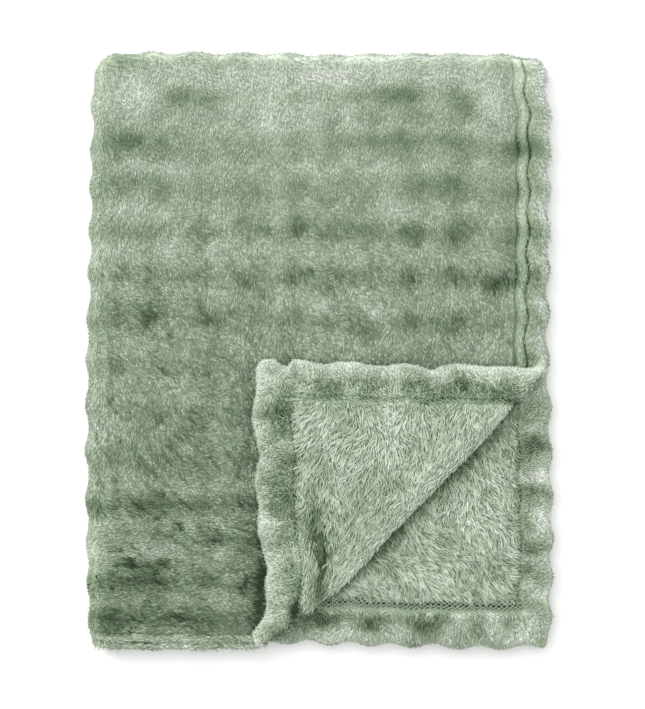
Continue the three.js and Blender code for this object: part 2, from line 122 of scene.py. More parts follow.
# Uneven outline of the folded blanket, and its slow waves
SIDE_SWAY = {
    "up": [-245, -205, -165, -120, -60, 0, 60, 140, 195, 222, 245],
    "left": [-1, -2, -2.8, -3.6, -3.4, -2.8, -1.3, 0, 1.2, 1, 0.8],
    "right": [2, 3, 4, 3.8, 2.8, 0.6, 1, 2, 2.2, -1.2, -3.4],
}
END_SWAY = {
    "across": [-190, -150, -110, -60, -15, 20, 80, 130, 190],
    "top": [0.6, 2.2, 2, 1.2, 0.2, -0.8, 0.4, -0.2, -1],
    "bottom": [-1.6, -3, -2.8, -1.4, -0.6, -2, -3.8, -5.6, -4.8],
}
LOWER_LAYERS_SLIP = {"right": 2.4, "up": 3.2, "over": 200}
ROUND_CORNERS = table("right up pull reach", [
    (-1, 1, 3.6, 17),
    (1, 1, 2.0, 14),
    (-1, -1, 1.0, 12),
])
# Crests of the outline along the left and the upper fold. Those of the lower layers lie further
# right.
FOLD_CRESTS = {
    "up": [205, 168, 137, 100, 66, 26, -6, -43, -81, -124, -162, -194, -228],
    "right": [-172, -138, -105, -67, -30, 8, 39, 76, 113, 151],
}
FOLD_CREST = {"height": 2.3, "width": 10, "reach": 15, "slip": 8, "slip_over": 60}

# Bends of the turned-back corner's two free edges, outwards, from its tip to the fold
FLAP_LEFT = {
    "from_tip": [
        3, 18, 28, 40, 48, 56, 66, 76, 86, 98, 108, 118, 128, 138, 148, 158, 168, 178, 200, 240,
    ],
    "out": [
        3.7, 4.8, 4.8, 7, 7.8, 6, 3.8, 1.2, 4, 6.2, 4, 2.2, 4.2, 4, 1.2, -0.8, -2.8, -1, 1, 0,
    ],
}
FLAP_UPPER = {
    "from_tip": [
        0, 5, 15, 20, 25.5, 30, 38, 46, 53, 68, 78, 88, 96, 117, 127, 139, 150, 160, 174, 190, 240,
    ],
    "out": [
        3.2, 5.2, 5.4, 0, -1.4, 4.6, 4.4, 2.6, 1, 4.2, 4.2, 1.2, 0.4, 2.9, 1, -2, 1.6, 3.2, 2.8,
        1.6, 0,
    ],
}
FLAP_SWAY_REACH = 44
FLAP_SCALLOPS = {"share": 0.2, "over": 30}

# The crease bows out over the lower layer near its lower end. Along is s - t on the flat cloth.
CREASE_SWAY = {
    "along": [-235, -60, 30, 90, 150, 205, 235],
    "out": [-2, 0, 2, 5, 5.5, 4, 1],
}
CREASE_REACH = 40

# Heights: slow waves over the stack, and how its open sides sink
WAVES = {
    "share": 0.025, "across": 47, "up": 58, "slant": 120, "start": 0.9, "bend": 1.1, "bend_up": 83,
}
EDGE_SINK = {"share": 0.13, "reach": 38}

# Swells and hollows of the face, where the pile also looks lighter or darker: painted light on
# the swells, painted shade in the hollows and along the top fold, and a painted shadow beside
# the turned-back corner's left edge
FACE_SWELLS = table("right up wide high lighter raised", [
    (-160, 241, 20, 7, -0.26, 0),
    (-111, 241, 11, 5, -0.2, 0),
    (-72, 242, 15, 5, -0.16, 0),
    (20, 229, 170, 7, 0.19, 0.3),
    (-148, 206, 13, 15, 0.15, 1.2),
    (-118, 212, 14, 10, -0.3, -0.8),
    (-92, 211, 18, 8, -0.13, -0.3),
    (-158, 175, 24, 11, -0.31, -0.8),
    (-45, 196, 60, 8, 0.13, 0.4),
    (57, 215, 34, 10, -0.24, -0.6),
    (118, 209, 12, 12, -0.24, -0.5),
    (143, 200, 13, 15, 0.14, 1.0),
    (70, 177, 60, 8, -0.1, -0.4),
    (162, 170, 24, 8, -0.32, -0.8),
    (-156, 143, 24, 9, -0.18, -0.5),
    (-121, 152, 11, 9, 0.16, 0.5),
    (95, 141, 30, 11, -0.16, -0.4),
    (166, 134, 16, 8, -0.16, -0.4),
    (-153, 120, 22, 6, 0.12, 0.3),
    (-127, 113, 8, 6, 0.16, 0.5),
    (-14, 104, 12, 10, -0.1, -0.2),
    (75, 97, 12, 9, -0.16, -0.4),
    (113, 94, 12, 11, -0.16, -0.4),
    (148, 60, 17, 7, -0.34, -1.2),
    (-19, 62, 8, 8, -0.1, -0.2),
    (4, 37, 10, 6, 0.12, 0.4),
    (45, 33, 13, 5, 0.22, 0.8),
    (42, 18, 12, 5, -0.18, -0.5),
    (-140, 84, 40, 10, 0.08, 0.3),
    (-130, 36, 30, 12, -0.11, -0.4),
    (-172, -62, 16, 18, 0.14, 0.4),
    (-120, -126, 60, 8, -0.22, -0.9),
    (-142, -162, 16, 9, 0.34, 1.6),
    (-182, -160, 9, 16, 0.24, 0),
    (-90, -164, 16, 10, 0.11, 0.6),
    (-140, -174, 26, 4, -0.32, -1.0),
    (-130, -190, 50, 6, -0.08, -0.6),
    (-176, -216, 14, 6, -0.16, -0.8),
    (-116, -218, 22, 6, -0.14, -0.6),
    (-50, -192, 5, 28, -0.5, -0.4),
])

# Net of darker spots of painted shade on the upper part of the face, where the pile parts in
# the bubbles' middles, stronger at its side hem
DARK_NET = {
    "rows": [213, 176, 143, 103, 64, 26],
    "columns": [-19, 27, 73, 110],
    "high": 8.5,
    "wide": 12,
    "between": 0.3,
    "from": -5,
    "over": 50,
    "darker": 0.18,
    "hem": 10,
    "hem_width": 6,
    "hem_darker": 0.3,
}

# Spots of the hem on the layer under the flap: painted shadows of the turned-back corner's end
# and crease, painted shade in the bubbles and painted light on those between
STRIP_SWELLS = table("right up wide high lighter", [
    (-4, -224, 18, 10, -0.5),
    (42, -228, 12, 8, -0.38),
    (89, -229, 15, 10, -0.5),
    (132, -233, 11, 6, -0.16),
    (64, -229, 9, 9, 0.1),
    (110, -228, 9, 9, 0.12),
    (180, -80, 16, 9, -0.28),
    (172, -50, 8, 9, -0.12),
    (178, -117, 15, 4, -0.24),
    (176, -165, 15, 5, -0.3),
    (176, -187, 14, 4, -0.12),
    (182, -104, 14, 5, 0.26),
    (182, -140, 14, 10, 0.2),
    (180, -202, 14, 8, 0.2),
    (178, -224, 14, 8, 0.2),
    (165, -62, 7, 9, -0.2),
])

# Pleats and hollows of the turned-back corner, by their place on the flat cloth, with painted
# shade in the pleats and hollows and painted light on the bulges
FLAP_SWELLS = table("s t down across lighter raised", [
    (160, 46, 36, 5.5, -0.5, -3.2),
    (116, 45, 26, 7, -0.12, -1.0),
    (168, 34, 22, 7, 0.22, 1.8),
    (200, 28, 9, 5, -0.7, -3.0),
    (122, 32, 14, 15, -0.13, -0.6),
    (130, 45, 24, 9, -0.13, -0.4),
    (184, 40, 14, 10, -0.16, -0.4),
    (94, 16, 7, 14, -0.2, -0.8),
    (42, 20, 9, 10, -0.12, -0.4),
    (20, 60, 8, 16, -0.14, 0),
    (22, 176, 8, 34, -0.18, -0.4),
    (62, 70, 22, 40, 0.05, 1.2),
    (64, 128, 20, 30, -0.05, -1.0),
    (104, 74, 12, 30, -0.06, -0.8),
    (40, 34, 16, 8, 0.08, 0.8),
])

# The lower end of that corner's left hem swings out to the left where it meets the fold, and the
# cloth beside the hem is drawn after it
FLAP_END = table("s t down across right", [
    (198, 0, 14, 30, 1.5),
    (224, 0, 15, 30, -10),
    (212, 38, 24, 20, -8),
])

# Smooth random swells, on a grid that repeats: how strong each is, its size and its seed
NOISE_GRID = 97
NOISE_START = 500
UNEVEN = {
    "face height": [(0.5, 24, 3)],
    "back height": [(0.6, 19, 4)],
    "face tone": [(0.07, 30, 21), (0.06, 11, 22)],
    "strip tone": [(0.2, 13, 23)],
    "back tone": [(0.09, 26, 24), (0.07, 9, 25)],
    "parting": [(1, 15, 26)],
    "parted patch": [(1.4, 13, 27)],
    "face lay": [(0.55, 46, 31), (0.4, 17, 32), (0.25, 6, 33)],
    "back lay": [(0.6, 34, 41), (0.6, 13, 42), (0.4, 5, 43)],
    "back bend": [(0.3, 5.5, 45)],
    "back wave": [(0.09, 4.5, 46)],
    "strip lay": [(0.9, 22, 51), (0.9, 8, 52)],
    "rim tone": [(0.1, 7, 56)],
    "face strokes": [(0.13, 2.1, 57)],
}

half_width = CLOTH_WIDTH / 2
half_length = CLOTH_LENGTH / 2
top_fold_start = half_length - math.pi * TOP_FOLD_RADIUS / 2
left_fold_start = half_width - math.pi * LEFT_FOLD_RADIUS / 2
left_fold_end = CLOTH_WIDTH - left_fold_start
top_fold_end = CLOTH_LENGTH - top_fold_start
flap_fold_length = math.pi * FLAP_FOLD_RADIUS
stack_middle = LEFT_FOLD_RADIUS + TOP_FOLD_RADIUS + THICKNESS / 2
folded_width = left_fold_start + stack_middle
folded_length = top_fold_start + TOP_FOLD_RADIUS + THICKNESS / 2


def smooth(x):
    u = np.clip(x, 0, 1)
    return u * u * (3 - 2 * u)


def bell(x, width):
    return np.exp(-((x / width) ** 2))


def unit(v):
    return v / np.maximum(np.linalg.norm(v, axis=-1, keepdims=True), 1e-9)


def from_table(places, key, column, x):
    """Reads a column of places between its rows, with soft bends."""
    keys, values = np.array(places[key]), np.array(places[column])
    row = np.clip(np.searchsorted(keys, x) - 1, 0, len(keys) - 2)
    share = smooth((x - keys[row]) / (keys[row + 1] - keys[row]))
    return values[row] + (values[row + 1] - values[row]) * share


def soft_noise(x, y, swell, seed):
    """Smooth random heights from -1 to 1, with swells of about the given size."""
    grid = np.random.default_rng(seed).uniform(-1, 1, (NOISE_GRID, NOISE_GRID))
    u, v = x / swell + NOISE_START, y / swell + NOISE_START
    i, j = np.floor(u).astype(int), np.floor(v).astype(int)
    a, b = smooth(u - i), smooth(v - j)
    i0, i1, j0, j1 = (k % NOISE_GRID for k in (i, i + 1, j, j + 1))
    low = grid[i0, j0] * (1 - a) + grid[i1, j0] * a
    high = grid[i0, j1] * (1 - a) + grid[i1, j1] * a
    return low * (1 - b) + high * b


def uneven(what, x, y):
    """Sum of the random swells that the table gives for one thing."""
    return sum(share * soft_noise(x, y, size, seed) for share, size, seed in UNEVEN[what])


def tufts(x, y, size, seed):
    """Ways to the middles of tufts of about the given size, and a random value of each tuft."""
    grid = np.random.default_rng(seed).uniform(0, 1, (NOISE_GRID, NOISE_GRID, 3))
    i0, j0 = np.floor(x / size).astype(int), np.floor(y / size).astype(int)
    nearest = np.full(x.shape, np.inf)
    found = np.zeros((3, *x.shape))
    for di, dj in np.ndindex(3, 3):
        i, j = i0 + di - 1, j0 + dj - 1
        across, up, value = np.moveaxis(grid[i % NOISE_GRID, j % NOISE_GRID], -1, 0)
        dx, dy = (i + across) * size - x, (j + up) * size - y
        distance = np.hypot(dx, dy)
        found = np.where(distance < nearest, np.stack([dx, dy, 2 * value - 1]), found)
        nearest = np.minimum(nearest, distance)
    return found


def from_side(s):
    return np.minimum(s, CLOTH_WIDTH - s)


def from_end(t):
    return np.minimum(t, CLOTH_LENGTH - t)


def bubble_wave(lattice, size, at):
    """Wave along a hem: 1 on a bubble's middle and -1 in the seam between two."""
    near = np.minimum(at, size - at)
    turn = 2 * math.pi * (near - lattice["from"]) / lattice["length"]
    count = (near - lattice["first"]) / lattice["pitch"] + lattice["wander"] * np.sin(turn)
    return np.cos(2 * math.pi * count)


def bubble(s, t):
    """Embossed bubbles: 1 on a bubble's middle and 0 where four of them meet."""
    column = bubble_wave(BUBBLE_COLUMNS, CLOTH_WIDTH, s)
    row = bubble_wave(BUBBLE_ROWS, CLOTH_LENGTH, t)
    return (2 + column + row) / 4


def relief_share(s, t):
    """The relief is full on the top layer and round both folds, and pressed flat elsewhere."""
    past_top = t - top_fold_start - RELIEF["round_top"] * math.pi * TOP_FOLD_RADIUS
    past_left = s - left_fold_start - RELIEF["round_left"] * math.pi * LEFT_FOLD_RADIUS
    round_top = smooth(-past_top / RELIEF["top_fade"])
    round_left = smooth(-past_left / RELIEF["left_fade"])
    lower_row = bell(t - half_length, RELIEF["lower_row"]) * (1 - round_left)
    return np.maximum(round_top * round_left, lower_row)


def on_top_layer(s, t):
    return (s < half_width) & (t < half_length)


def end_seam(t):
    """Width of the end hem on the back. It is wider on the layer under the flap."""
    return np.where(t < half_length, END_HEM, LOWER_END_HEM)


def from_seam(s, t):
    """How far a place of the hem lies from its seam on the back. It is negative past the hem."""
    return np.maximum(SIDE_HEM - from_side(s), end_seam(t) - from_end(t))


def is_strip(s, t):
    return from_seam(s, t) > 0


def seam_depth(s, t, face):
    """How deep the seams of one side draw the cloth in."""
    depth = np.zeros(np.broadcast(s, t).shape)
    for seam in SEAMS:
        if seam["face"] != face:
            continue
        edge = from_side(s) if seam["hem"] == "side" else from_end(t)
        if not face and seam["hem"] != "side":
            edge = np.where((t > half_length) == (seam["hem"] == "lower end"), edge, np.inf)
        depth = np.maximum(depth, seam["depth"] * bell(edge - seam["at"], seam["width"]))
    return depth


def past_flap_fold(s, t):
    """How far a place lies past the start of the turned-back fold, towards the corner."""
    return (FLAP_LEG - s - t) / math.sqrt(2) + flap_fold_length / 2


def swells_at(swells, column, right, up):
    """Sum of swells at places of the folded blanket."""
    total = np.zeros(np.broadcast(right, up).shape)
    for swell in swells:
        near = bell(right - swell["right"], swell["wide"]) * bell(up - swell["up"], swell["high"])
        total += swell[column] * near
    return total


def face_swell(s, t, column):
    return swells_at(FACE_SWELLS, column, folded_width / 2 - s, t - folded_length / 2)


def flap_swells(swells, s, t, column):
    """Sum of the swells of the turned-back corner at places of the flat cloth."""
    total = np.zeros(np.broadcast(s, t).shape)
    for swell in swells:
        near = bell(s - swell["s"], swell["down"]) * bell(t - swell["t"], swell["across"])
        total += swell[column] * near
    return total


def face_height(s, t):
    """Height of the face above the middle of the cloth, with its relief and its seams."""
    on_floor = smooth((s - left_fold_end + ON_FLOOR["past_fold"]) / ON_FLOOR["fade"])
    on_floor = on_floor * smooth((top_fold_start - t) / ON_FLOOR["fade"])
    height = GROUND_HALF + (THICKNESS / 2 - GROUND_HALF) * on_floor
    height = height - BUBBLE_DEPTH * relief_share(s, t) * (1 - bubble(s, t))
    height = height + np.where(on_top_layer(s, t), face_swell(s, t, "raised"), 0)
    height = height + relief_share(s, t) * uneven("face height", s, t)
    sewn = (s < half_width) & (t < half_length + SEAMS_PAST_FOLD)
    return height - np.where(sewn, seam_depth(s, t, True), 0)


def back_height(s, t):
    """Height of the back, which is full on the turned-back fold and has bubbles on its hem."""
    right, on_top = s < half_width, on_top_layer(s, t)
    height = GROUND_HALF - np.where(right, seam_depth(s, t, False), 0)
    share = np.clip(past_flap_fold(s, t) / flap_fold_length, 0, 1)
    fullness = FLAP_FOLD_FULLNESS * np.sin(math.pi * share) ** 2 * smooth(2 * share)
    pleats = flap_swells(FLAP_SWELLS, s, t, "raised")
    height = height + np.where(on_top, fullness + pleats, 0)
    height = height + np.where(right, uneven("back height", s, t), 0)
    strip = right & (t >= half_length) & is_strip(s, t)
    return height - np.where(strip, STRIP_BUBBLE_DEPTH * bubble(s, t), 0)


def half_thickness(s, t, side):
    """Height of a side of the ground above the middle of the cloth, down to nothing at the rim."""
    height = face_height(s, t) if side > 0 else back_height(s, t)
    edge = np.minimum(from_side(s), from_end(t)) / (THICKNESS / 2)
    round_rim = np.sqrt(1 - (1 - np.clip(edge, 0, 1)) ** 2)
    return np.maximum(height, THINNEST_HALF) * round_rim


def shape_hem(s, t):
    """Scallops where bubbles meet a hem, weaker towards the left fold and on the flap, rounded
    corners, and room for the pile of the rim."""
    reach, depth, deep = SCALLOP["reach"], RIM_INSET["depth"], RIM_INSET["reach"]
    towards_fold = smooth((from_side(s) - SCALLOP["calm_at"]) / SCALLOP["calm_over"])
    calm = 1 - SCALLOP["calm_share"] * towards_fold
    on_flap = smooth((FLAP_LEG - s - t) / FLAP_SCALLOPS["over"])
    on_flap = np.where(on_top_layer(s, t), on_flap, 0)
    height = SCALLOP["height"] * (1 - (1 - FLAP_SCALLOPS["share"]) * on_flap)
    column = height * calm * bubble_wave(BUBBLE_COLUMNS, CLOTH_WIDTH, s)
    row = height * bubble_wave(BUBBLE_ROWS, CLOTH_LENGTH, t)
    to_left, to_right = CLOTH_WIDTH - s, s
    to_far, to_near = CLOTH_LENGTH - t, t
    ds = row * (bell(to_left, reach) - bell(to_right, reach))
    dt = column * (bell(to_far, reach) - bell(to_near, reach))
    ds = ds + depth * (bell(to_right, deep) - bell(to_left, deep))
    dt = dt + depth * (bell(to_near, deep) - bell(to_far, deep))
    a = np.maximum(CORNER_RADIUS - from_side(s), 0)
    b = np.maximum(CORNER_RADIUS - from_end(t), 0)
    diagonal = np.maximum(np.hypot(a, b), 1e-9)
    in_corner = np.where((a > 0) & (b > 0), np.maximum(a, b) / diagonal - 1, 0)
    ds = ds + np.where(s < half_width, -a, a) * in_corner
    dt = dt + np.where(t < half_length, -b, b) * in_corner
    return s + ds, t + dt


def slow_waves(x, y):
    bend = WAVES["bend"] * np.sin(y / WAVES["bend_up"])
    slant = x / WAVES["slant"]
    return np.sin(x / WAVES["across"] + bend) + np.sin(y / WAVES["up"] - slant + WAVES["start"])


def settle(x, y, z):
    """Uneven outline, rounded corners and soft heights of the whole stack."""
    left, right = (from_table(SIDE_SWAY, "up", column, y) for column in ("left", "right"))
    top, bottom = (from_table(END_SWAY, "across", column, x) for column in ("top", "bottom"))
    across = np.clip(x / folded_width + 0.5, 0, 1)
    up = np.clip(y / folded_length + 0.5, 0, 1)
    dx = left + (right - left) * across
    dy = bottom + (top - bottom) * up
    for corner in ROUND_CORNERS:
        from_x = np.maximum(folded_width / 2 - corner["right"] * x, 0)
        from_y = np.maximum(folded_length / 2 - corner["up"] * y, 0)
        near = bell(from_x, corner["reach"]) * bell(from_y, corner["reach"])
        dx = dx - corner["right"] * corner["pull"] * near
        dy = dy - corner["up"] * corner["pull"] * near
    from_open = np.maximum(np.minimum(folded_width / 2 - x, folded_length / 2 + y), 0)
    sink = EDGE_SINK["share"] * bell(from_open, EDGE_SINK["reach"])
    height = z * (1 + WAVES["share"] * slow_waves(x, y) - sink)
    return np.stack([x + dx, y + dy, height], axis=-1)


def fold_crests(x, y, s):
    """Pushes the folds out at the crests of the outline."""
    height, width, reach = (FOLD_CREST[column] for column in ("height", "width", "reach"))
    right = x - FOLD_CREST["slip"] * smooth((s - half_width) / FOLD_CREST["slip_over"])
    along_left = sum(bell(y - crest, width) for crest in FOLD_CRESTS["up"])
    along_top = sum(bell(right - crest, width) for crest in FOLD_CRESTS["right"])
    on_left, on_top = bell(x + folded_width / 2, reach), bell(y - folded_length / 2, reach)
    return x - height * along_left * on_left, y + height * along_top * on_top


def crease_sway(s, t):
    """How far the crease of the turned-back corner and the cloth beside it are pushed out."""
    from_crease = past_flap_fold(s, t) - flap_fold_length / 2
    sway = from_table(CREASE_SWAY, "along", "out", s - t) * bell(from_crease, CREASE_REACH)
    return np.where(on_top_layer(s, t), sway, 0)


def place(s, t, side):
    """Points of the folded blanket for places on one side of the flat cloth."""
    height = side * half_thickness(s, t, side)
    hem_s, hem_t = shape_hem(s, t)

    past = past_flap_fold(hem_s, hem_t)
    angle = np.clip(past / FLAP_FOLD_RADIUS, 0, math.pi)
    beyond = np.maximum(past - flap_fold_length, 0)
    turned_back = np.where(past > 0, past - FLAP_FOLD_RADIUS * np.sin(angle) + beyond, 0)
    lift = FLAP_FOLD_RADIUS * (1 - np.cos(angle))
    flap_s, flap_t = hem_s + turned_back / math.sqrt(2), hem_t + turned_back / math.sqrt(2)
    slide = height * np.sin(angle) / math.sqrt(2)
    up = np.cos(angle)

    turn = np.clip((flap_t - top_fold_start) / TOP_FOLD_RADIUS, 0, math.pi)
    over = np.minimum(flap_t, top_fold_start) + TOP_FOLD_RADIUS * np.sin(turn)
    y = np.where(turn < math.pi, over, CLOTH_LENGTH - flap_t)
    level = TOP_FOLD_RADIUS * np.cos(turn) + lift + height * up * np.cos(turn)

    flap_s = flap_s + slide
    turn_left = np.clip((flap_s - left_fold_start) / LEFT_FOLD_RADIUS, 0, math.pi)
    radius = LEFT_FOLD_RADIUS + level
    round_left = -np.minimum(flap_s, left_fold_start) - radius * np.sin(turn_left)
    x = np.where(turn_left < math.pi, round_left, flap_s - CLOTH_WIDTH) + folded_width / 2
    swing = flap_swells(FLAP_END, s, t, "right")
    x = x + np.where(on_top_layer(s, t), swing, 0)
    z = stack_middle + radius * np.cos(turn_left)
    y = y + slide + height * up * np.sin(turn) - folded_length / 2
    x, y = fold_crests(x, y, s)
    sway = crease_sway(s, t) / math.sqrt(2)
    x, y = x + sway, y - sway

    slipped = LOWER_LAYERS_SLIP["over"]
    doubled = smooth((t - half_length) / slipped) * smooth((half_width - s) / slipped)
    share = np.where(s > half_width, smooth((s - half_width) / slipped), doubled)
    x = x + share * LOWER_LAYERS_SLIP["right"]
    y = y + share * LOWER_LAYERS_SLIP["up"]
    away = smooth(beyond / FLAP_SWAY_REACH)
    x = x - away * bell(t, FLAP_SWAY_REACH) * from_table(FLAP_LEFT, "from_tip", "out", s)
    y = y + away * bell(s, FLAP_SWAY_REACH) * from_table(FLAP_UPPER, "from_tip", "out", t)
    return settle(x, y, z)


def surface(s, t, side):
    """Points of the cloth, the ways along s and t there, and the way out of it."""
    step = 0.5
    s0, s1 = np.clip(s - step, 0, CLOTH_WIDTH), np.clip(s + step, 0, CLOTH_WIDTH)
    t0, t1 = np.clip(t - step, 0, CLOTH_LENGTH), np.clip(t + step, 0, CLOTH_LENGTH)
    along_s = unit(place(s1, t, side) - place(s0, t, side))
    along_t = unit(place(s, t1, side) - place(s, t0, side))
    out = -side * unit(np.cross(along_s, along_t))
    return place(s, t, side) + shift, along_s, along_t, out


# Shader maths: a value of a material's nodes, on which Python's signs add Math nodes.
class Value:
    def __init__(self, finish, socket):
        self.finish = finish
        self.socket = socket

    def math(self, operation, *values):
        return self.finish.node("ShaderNodeMath", {"operation": operation}, *values)

    def __add__(self, other):
        return self.math("ADD", self, other)

    def __sub__(self, other):
        return self.math("SUBTRACT", self, other)

    def __rsub__(self, other):
        return self.math("SUBTRACT", other, self)

    def __mul__(self, other):
        return self.math("MULTIPLY", self, other)

    __radd__ = __add__
    __rmul__ = __mul__


class Finish:
    """A material, its Principled shader and the nodes that vary it."""

    def __init__(self, name, **plain):
        self.material = bpy.data.materials.new(name)
        self.material.use_nodes = True
        self.tree = self.material.node_tree
        self.shader = self.tree.nodes["Principled BSDF"]
        for socket, value in plain.items():
            self.shader.inputs[socket.replace("_", " ")].default_value = value

    def node(self, kind, settings=None, *values, **named):
        """Adds a node. Its settings come first, then its sockets in order or by name."""
        node = self.tree.nodes.new(kind)
        for setting, value in (settings or {}).items():
            if setting == "stops":
                self.set_stops(node.color_ramp.elements, value)
            elif setting != "output":
                setattr(node, setting, value)
        for socket, value in [*enumerate(values), *named.items()]:
            name = socket.replace("_", " ") if isinstance(socket, str) else socket
            self.feed(node.inputs[name], value)
        return Value(self, node.outputs[(settings or {}).get("output", 0)])

    def set_stops(self, elements, stops):
        while len(elements) < len(stops):
            elements.new(1)
        for element, (position, colour) in zip(elements, stops):
            element.position = position
            element.color = colour

    def feed(self, socket, value):
        if isinstance(value, Value):
            self.tree.links.new(value.socket, socket)
        else:
            socket.default_value = value

    def shade(self, socket, value):
        self.feed(self.shader.inputs[socket], value)

    def paint(self, stops, share):
        self.shade("Base Color", self.node("ShaderNodeValToRGB", {"stops": stops}, share))

    def place(self):
        """Where a point of the piece lies."""
        return self.node("ShaderNodeTexCoord", {"output": "Object"})

    def carried(self, name):
        """A value that the points of the mesh carry."""
        return self.node("ShaderNodeAttribute", {"attribute_name": name, "output": "Fac"})

    def noise(self, where, scale, detail):
        return self.node("ShaderNodeTexNoise", {}, Vector=where, Scale=scale, Detail=detail)


def colour(red, green, blue):
    """A colour given as it looks on a screen, from 0 to 255."""
    return (*(((c / 255 + 0.055) / 1.055) ** 2.4 for c in (red, green, blue)), 1)


# Sage of the pile, from the painted shade of its depth to its tips
PILE_STOPS = [
    (0.0, colour(50, 68, 45)),
    (0.25, colour(114, 135, 104)),
    (0.5, colour(168, 184, 157)),
    (0.75, colour(206, 217, 199)),
    (1.0, colour(238, 243, 235)),
]
THREAD_STOPS = [(0.3, colour(116, 134, 109)), (0.7, colour(178, 192, 169))]
FLOOR_STOPS = [(0, colour(250, 250, 250)), (1, colour(252, 252, 252))]
PILE_SHEEN = colour(225, 235, 220)
LOCK_MIDDLE = 0.6
STREAKS = {"Rotation": (0, 0, 0.5), "Scale": (900, 260, 600)}
STREAK_DEPTH = 0.35
PATCH_DEPTH = 0.12


def pile_finish(pile):
    """Pile: each lock is darker at its root, as painted shade, and its tone comes with the lock.
    """
    finish = Finish(
        pile["name"], Roughness=0.85, Sheen_Weight=0.14, Sheen_Roughness=0.5,
        Sheen_Tint=PILE_SHEEN, Specular_IOR_Level=0.2,
    )
    fine = finish.noise(finish.place(), 900.0, 2.0)
    deep = (finish.carried("along") - LOCK_MIDDLE) * pile["root"]
    finish.paint(PILE_STOPS, finish.carried("tone") + deep + (fine - 0.5) * pile["fleck"])
    return finish.material


def cloth_finish():
    """Ground of the cloth, with the pile too short to be locks as fine streaks."""
    finish = Finish(
        "cloth", Roughness=0.95, Sheen_Weight=0.15, Sheen_Roughness=0.6, Specular_IOR_Level=0.1
    )
    where = finish.place()
    stretch = finish.node("ShaderNodeMapping", {}, Vector=where, **STREAKS)
    streaks = finish.noise(stretch, 1.0, 3.0)
    patches = finish.noise(where, 60.0, 2.0)
    shade = finish.carried("tone") + (streaks - 0.5) * STREAK_DEPTH
    finish.paint(PILE_STOPS, shade + (patches - 0.5) * PATCH_DEPTH)
    bump = finish.node("ShaderNodeBump", {}, Strength=0.6, Distance=0.0012, Height=streaks)
    finish.shade("Normal", bump)
    return finish.material


def thread_finish():
    """Twisted polyester thread."""
    finish = Finish("thread", Roughness=0.55, Sheen_Weight=0.1)
    finish.paint(THREAD_STOPS, finish.noise(finish.place(), 1400.0, 1.0))
    return finish.material


def floor_finish():
    finish = Finish("floor", Roughness=0.9)
    finish.paint(FLOOR_STOPS, finish.noise(finish.place(), 3.0, 1.0))
    return finish.material


def add_object(name, data):
    piece = bpy.data.objects.new(name, data)
    bpy.context.scene.collection.objects.link(piece)
    return piece


def mesh_piece(name, points, faces, material, bake_map=None, **values):
    """A piece made of triangles, with a value for each point under each given name."""
    mesh = bpy.data.meshes.new(name)
    mesh.vertices.add(len(points))
    mesh.vertices.foreach_set("co", (points * MM).astype(np.float32).ravel())
    mesh.loops.add(faces.size)
    mesh.loops.foreach_set("vertex_index", faces.astype(np.int32).ravel())
    mesh.polygons.add(len(faces))
    mesh.polygons.foreach_set("loop_start", np.arange(0, faces.size, 3, dtype=np.int32))
    mesh.polygons.foreach_set("use_smooth", np.ones(len(faces), bool))
    mesh.update(calc_edges=True)
    for value_name, value in values.items():
        attribute = mesh.attributes.new(value_name, "FLOAT", "POINT")
        attribute.data.foreach_set("value", value.astype(np.float32).ravel())
    if bake_map is not None:
        layer = mesh.uv_layers.new(name="OFBake", do_init=False)
        layer.uv.foreach_set("vector", bake_map[faces.ravel()].astype(np.float32).ravel())
    mesh.materials.append(material)
    piece = add_object(name, mesh)
    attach(piece, "root")
    return piece


def make_camera():
    data = bpy.data.cameras.new("camera")
    data.lens = LENS
    data.sensor_width = SENSOR
    camera = add_object("camera", data)
    distance = LENS / SENSOR * PICTURE_HEIGHT * PIXEL
    right = (PICTURE_WIDTH / 2 - MIDDLE_PIXEL[0]) * PIXEL
    up = (MIDDLE_PIXEL[1] - PICTURE_HEIGHT / 2) * PIXEL
    camera.location = (right * MM, up * MM, (FACE_HEIGHT + distance) * MM)
    bpy.context.scene.camera = camera


def make_light(name, at, size, power):
    """A soft square light that faces the blanket."""
    data = bpy.data.lights.new(name, "AREA")
    data.size = size
    data.energy = power
    light = add_object(name, data)
    light.location = at
    x, y, z = at
    light.rotation_euler = (math.atan2(math.hypot(x, y), z), 0, math.atan2(y, x) + math.pi / 2)


def make_studio():
    for light in LIGHTS:
        make_light(**light)
    world = bpy.data.worlds.new("studio")
    bpy.context.scene.world = world
    world.use_nodes = True
    background = world.node_tree.nodes["Background"]
    background.inputs["Color"].default_value = (1, 1, 1, 1)
    background.inputs["Strength"].default_value = ROOM_LIGHT
    mesh = bpy.data.meshes.new("floor")
    half = FLOOR["half"]
    corners = [(-half, -half, 0), (half, -half, 0), (half, half, 0), (-half, half, 0)]
    mesh.from_pydata(corners, [], [(0, 1, 2, 3)])
    mesh.materials.append(floor_finish())
    floor = add_object("floor", mesh)
    floor.location.z = -FLOOR["below"]
    bpy.context.scene.view_settings.view_transform = "Standard"


# How far round the two folds the face shows from above
SEEN = {"past_left": 12, "past_top": 10}

